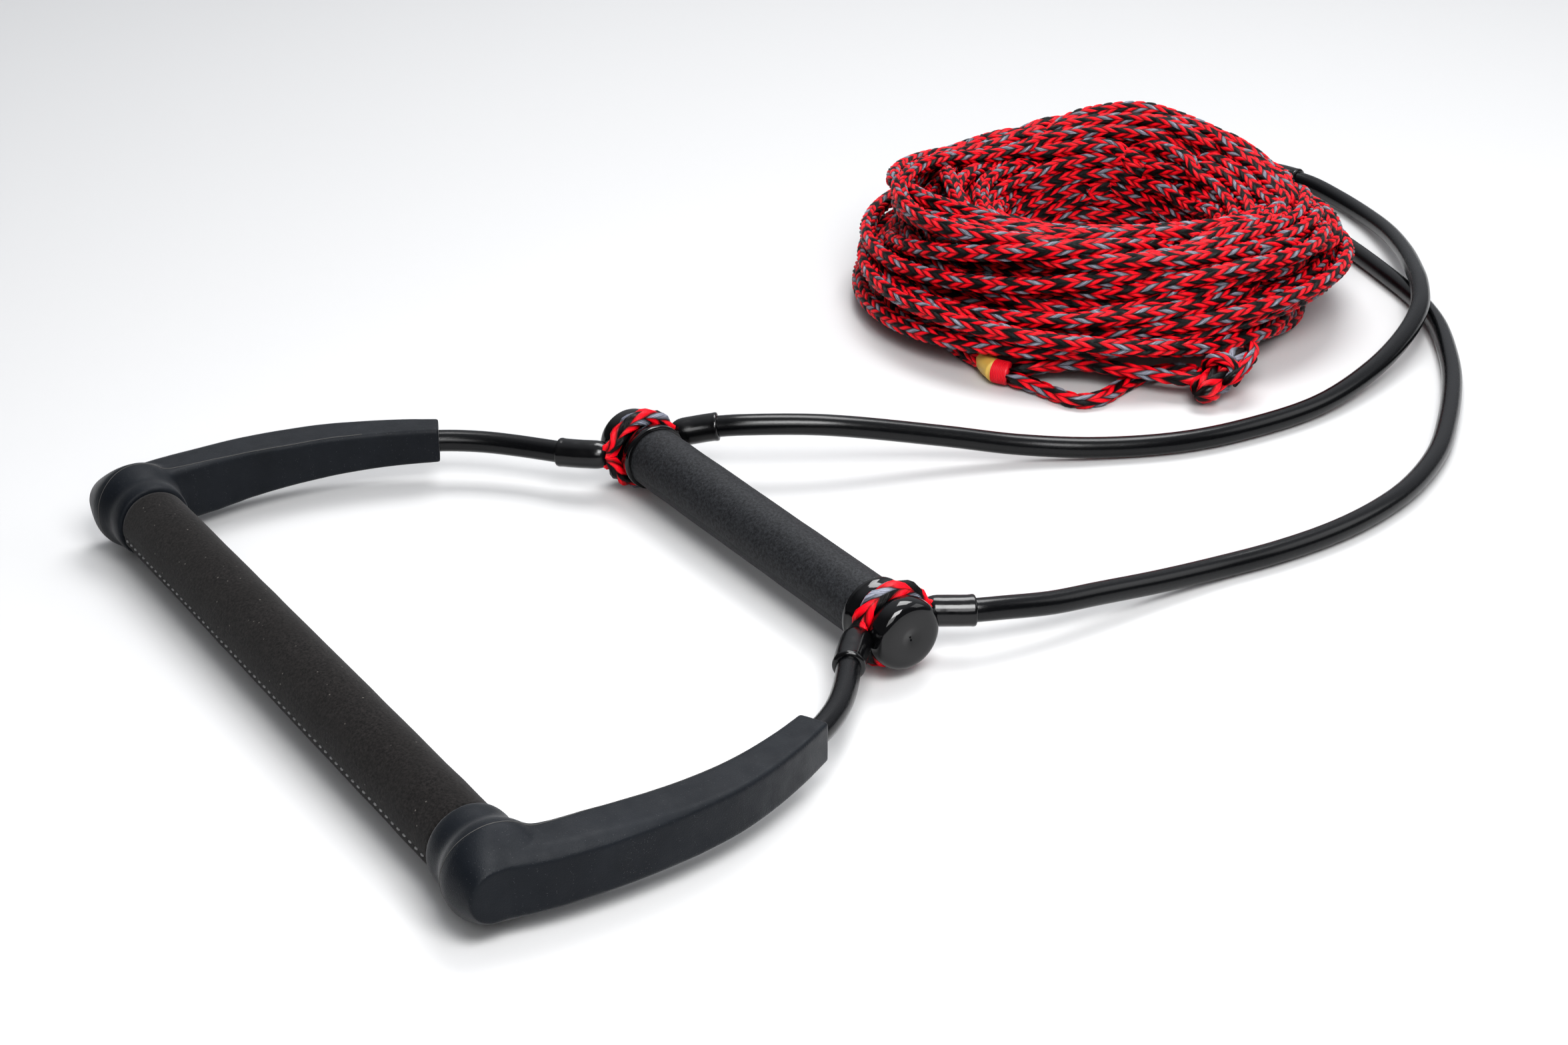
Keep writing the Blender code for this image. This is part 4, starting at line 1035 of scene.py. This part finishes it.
def make_second_grip():
    """Foam tube with a fine seam, between the two dipped caps."""
    xs = np.linspace(-FOAM_END, FOAM_END, 110)
    angles = np.linspace(0.0, TAU, 128, endpoint=False)
    groove = -0.00030 * np.exp(-(angle_from(angles, FOAM_SEAM_ANGLE) / 0.022) ** 2)
    random = np.random.default_rng(8)
    wave = 0.00012 * np.interp(xs, np.linspace(xs[0], xs[-1], 14), random.uniform(-1.0, 1.0, 14))
    radius = FOAM_R + groove[None, :] + wave[:, None]
    foam = grip_tube("foam_grip", xs, angles, radius, SECOND_BAR_Y, MATERIALS["foam"])
    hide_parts("second_grip_foam")
    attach(foam, "second_bar")
    for side, hand in SIDES:
        bm = bmesh.new()
        rings = turned_rings(bm, [(side * x, r) for x, r in CAP_PROFILE], SECOND_BAR_Y, TURNED_ANGLES)
        join_rings(bm, rings + rings[:1])
        cap = bmesh_object(hand + "_dipped_cap", bm, MATERIALS["gloss"], 30.0)
        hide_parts(hand + "_end_cap")
        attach(cap, "second_bar")


# ---- hoses, sleeves and eyes

SLEEVE_PROFILE = (  # (from its rim, radius)
    (0.0, 0.0050), (0.0003, 0.0061), (0.0008, 0.00632), (0.0014, 0.00634), (0.0020, 0.00624),
    (0.0030, 0.0062), (0.0060, 0.0062), (0.0100, 0.0062), (0.0130, 0.0062), (0.0150, 0.0062),
    (0.0162, 0.0061), (0.0172, 0.0059), (0.0181, 0.0056), (0.0188, 0.0052), (0.0194, 0.0047),
    (0.0198, 0.0042), (0.0200, 0.0036),
)
EYE_R = 0.0142  # rope's centre line round the cap's groove
EYE_X = 0.0940


def rope_line(side):
    return route_line(ROPE_ROUTE, 0.001, side)


def make_sleeve(name, line, start, nose, node, body):
    """A dipped vinyl sleeve: a rolled rim where the hose enters and a rounded nose."""
    steps, radii = np.array(SLEEVE_PROFILE).T
    places = places_on(line, start + steps / SLEEVE_LENGTH * (nose - start))
    piece = tube(name, places, radii, MATERIALS["sleeve"], 40)
    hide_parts(node)
    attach(piece, body)


def eye_line(side, over):
    """One strand of the eye, from the arm's sleeve to the leg's, over or under the cap."""
    front = rope_line(side)
    end = line_length(front)
    nose = end - NOSE_FROM_EYE
    back = leg_line(side)
    points = list(places_on(front, [nose - 0.0045, nose - 0.0015]))
    for degrees in (163, 148, 130, 110, 90, 70, 50, 32, 17):
        angle = math.radians(degrees if over else -degrees)
        points.append(on_bar(side * EYE_X, angle, EYE_R, SECOND_BAR_Y))
    points += list(places_on(back, [NOSE_FROM_EYE + 0.0015, NOSE_FROM_EYE + 0.0045]))
    return smooth_route(points, 0.001)


def make_harness():
    """Short hoses, dipped sleeves, and the opened rope's two strands round each cap."""
    for side, hand in SIDES:
        line = rope_line(side)
        end = line_length(line)
        tip = distance_to(line, placed(ARM_ROUTE, side)[-1])
        nose = end - NOSE_FROM_EYE
        hose = tube(hand + "_arm_tubing", evenly(line, tip - 0.010, nose - HOSE_END, 0.002), HOSE_R,
                    MATERIALS["hose"])
        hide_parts(hand + "_arm_hose")
        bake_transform(hose)
        make_sleeve(hand + "_arm_dip", line, nose - SLEEVE_LENGTH + 0.001, nose + 0.0035,
                    hand + "_arm_sleeve", "harness")

        leg = leg_line(side)
        near = NOSE_FROM_EYE - LEG_SLEEVE_SHIFT
        make_sleeve(hand + "_leg_dip", leg, near + SLEEVE_LENGTH, near, hand + "_leg_sleeve", "harness")
        far_nose = line_length(leg) - JUNCTION_TAIL
        make_sleeve(hand + "_leg_end_dip", leg, far_nose - SLEEVE_LENGTH, far_nose,
                    hand + "_leg_end_sleeve", "tow_line")

        strands = []
        for over, word in ((True, "over"), (False, "under")):
            path = eye_line(side, over)
            strands.append(braid(hand + "_eye_" + word, path, 0.0040, 0.0036, 0.0068, sectors=4, depth=0.40,
                                 twist=np.linspace(-0.5, 0.7, len(path)), slant=1.15))
            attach(strands[-1], "harness")
        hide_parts(hand + "_rope_eye")


def make_inner_rope():
    """The rope hidden in the bar, arms and hoses."""
    ends = line_length(rope_line(1)) - NOSE_FROM_EYE - ROPE_SPLIT
    halves = [evenly(rope_line(side), 0.0, ends, 0.004) for side in (-1, 1)]
    line = np.vstack([halves[0][::-1], halves[1][1:]])
    rope = braid("inner_rope", line, ROPE_R, ROPE_R, 0.0070)
    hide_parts("handle_rope")
    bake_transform(rope)


# ---- boat end

def make_boat_end():
    """The yellow sleeve, the whipping, the thin spliced loop and the knot tied in it."""
    yellow = tube("yellow_sleeve", route_line(LINE_SLEEVE_ROUTE), 0.0054, MATERIALS["yellow"], 40)
    line = route_line(WHIPPING_ROUTE, 0.0001)
    turns = 0.0055 + 0.00028 * np.cos(distances(line) / 0.0008 * TAU)
    whipping = tube("whipping", line, turns, MATERIALS["thread"], 32)
    line = route_line(BOAT_LOOP_ROUTE)
    loop = braid("boat_loop", line, 0.0037, 0.0033, 0.0072, sectors=6, depth=0.34,
                 twist=slow_twist(line, 1.5, 4), colours=LOOP_COLOURS)
    line = route_line(KNOT_ROUTE)
    knot = braid("boat_knot", line, 0.0070, 0.0062, 0.0070, depth=0.30, twist=slow_twist(line, 0.5, 6),
                 colours=KNOT_COLOURS, rounded=0.007)
    strands = {"boat_knot_turn": KNOT_TURN_ROUTE, "boat_knot_tail": KNOT_TAIL_ROUTE}
    turn, tail = (braid(name, route_line(route), 0.0031, 0.0029, 0.0066, sectors=6, depth=0.34,
                        colours=LOOP_COLOURS, rounded=0.003) for name, route in strands.items())
    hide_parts("line_sleeve")
    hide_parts("loop_whipping")
    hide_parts("boat_end_loop")
    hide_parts("boat_end_knot")
    pieces = [yellow, whipping, loop, knot, turn, tail]
    for piece in pieces:
        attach(piece, "tow_line")
    return pieces


def make_junction():
    """Both legs' ropes tied to the tow rope in one knot."""
    centre = np.array(at(*JUNCTION))
    pieces = []
    for k, (tilt, spin) in enumerate(((0.0, 0.3), (1.15, 1.9), (-0.9, 3.6))):
        angle = np.linspace(0.0, TAU * 1.06, 34) + spin
        ring = np.stack([0.0062 * np.cos(angle), 0.0062 * np.sin(angle) * math.cos(tilt),
                         0.0052 * np.sin(angle) * math.sin(tilt) + 0.0022 * np.cos(angle * 0.5)], axis=1)
        pieces.append(braid("junction_turn_%d" % k, centre + ring, 0.0031, 0.0029, 0.0058, depth=0.2))
    for side, hand in SIDES:
        leg = leg_line(side)
        end = line_length(leg)
        tail = evenly(leg, end - JUNCTION_TAIL - 0.004, end, 0.001)
        pieces.append(braid("junction_tail_" + hand, tail, ROPE_R, ROPE_R, 0.0066))
    for piece in pieces:
        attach(piece, "tow_line")
    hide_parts("leg_junction_knot")
    return pieces


# ---- build

make_legs()
tow_rope, tow_line = make_tow_rope()
rope_end = make_boat_end()
make_junction()
for side, hand in SIDES:
    make_arm(side, hand)
make_main_grip()
make_second_grip()
make_harness()
make_inner_rope()

INSIDE_NODES = {
    "main_grip_core": "foam",
    "main_bar_tube": "aluminium",
    "second_bar_tube": "aluminium",
    "left_bar_plug": "nylon",
    "right_bar_plug": "nylon",
}
for node, key in INSIDE_NODES.items():
    for place in bpy.data.objects[node].material_slots:
        place.material = MATERIALS[key]
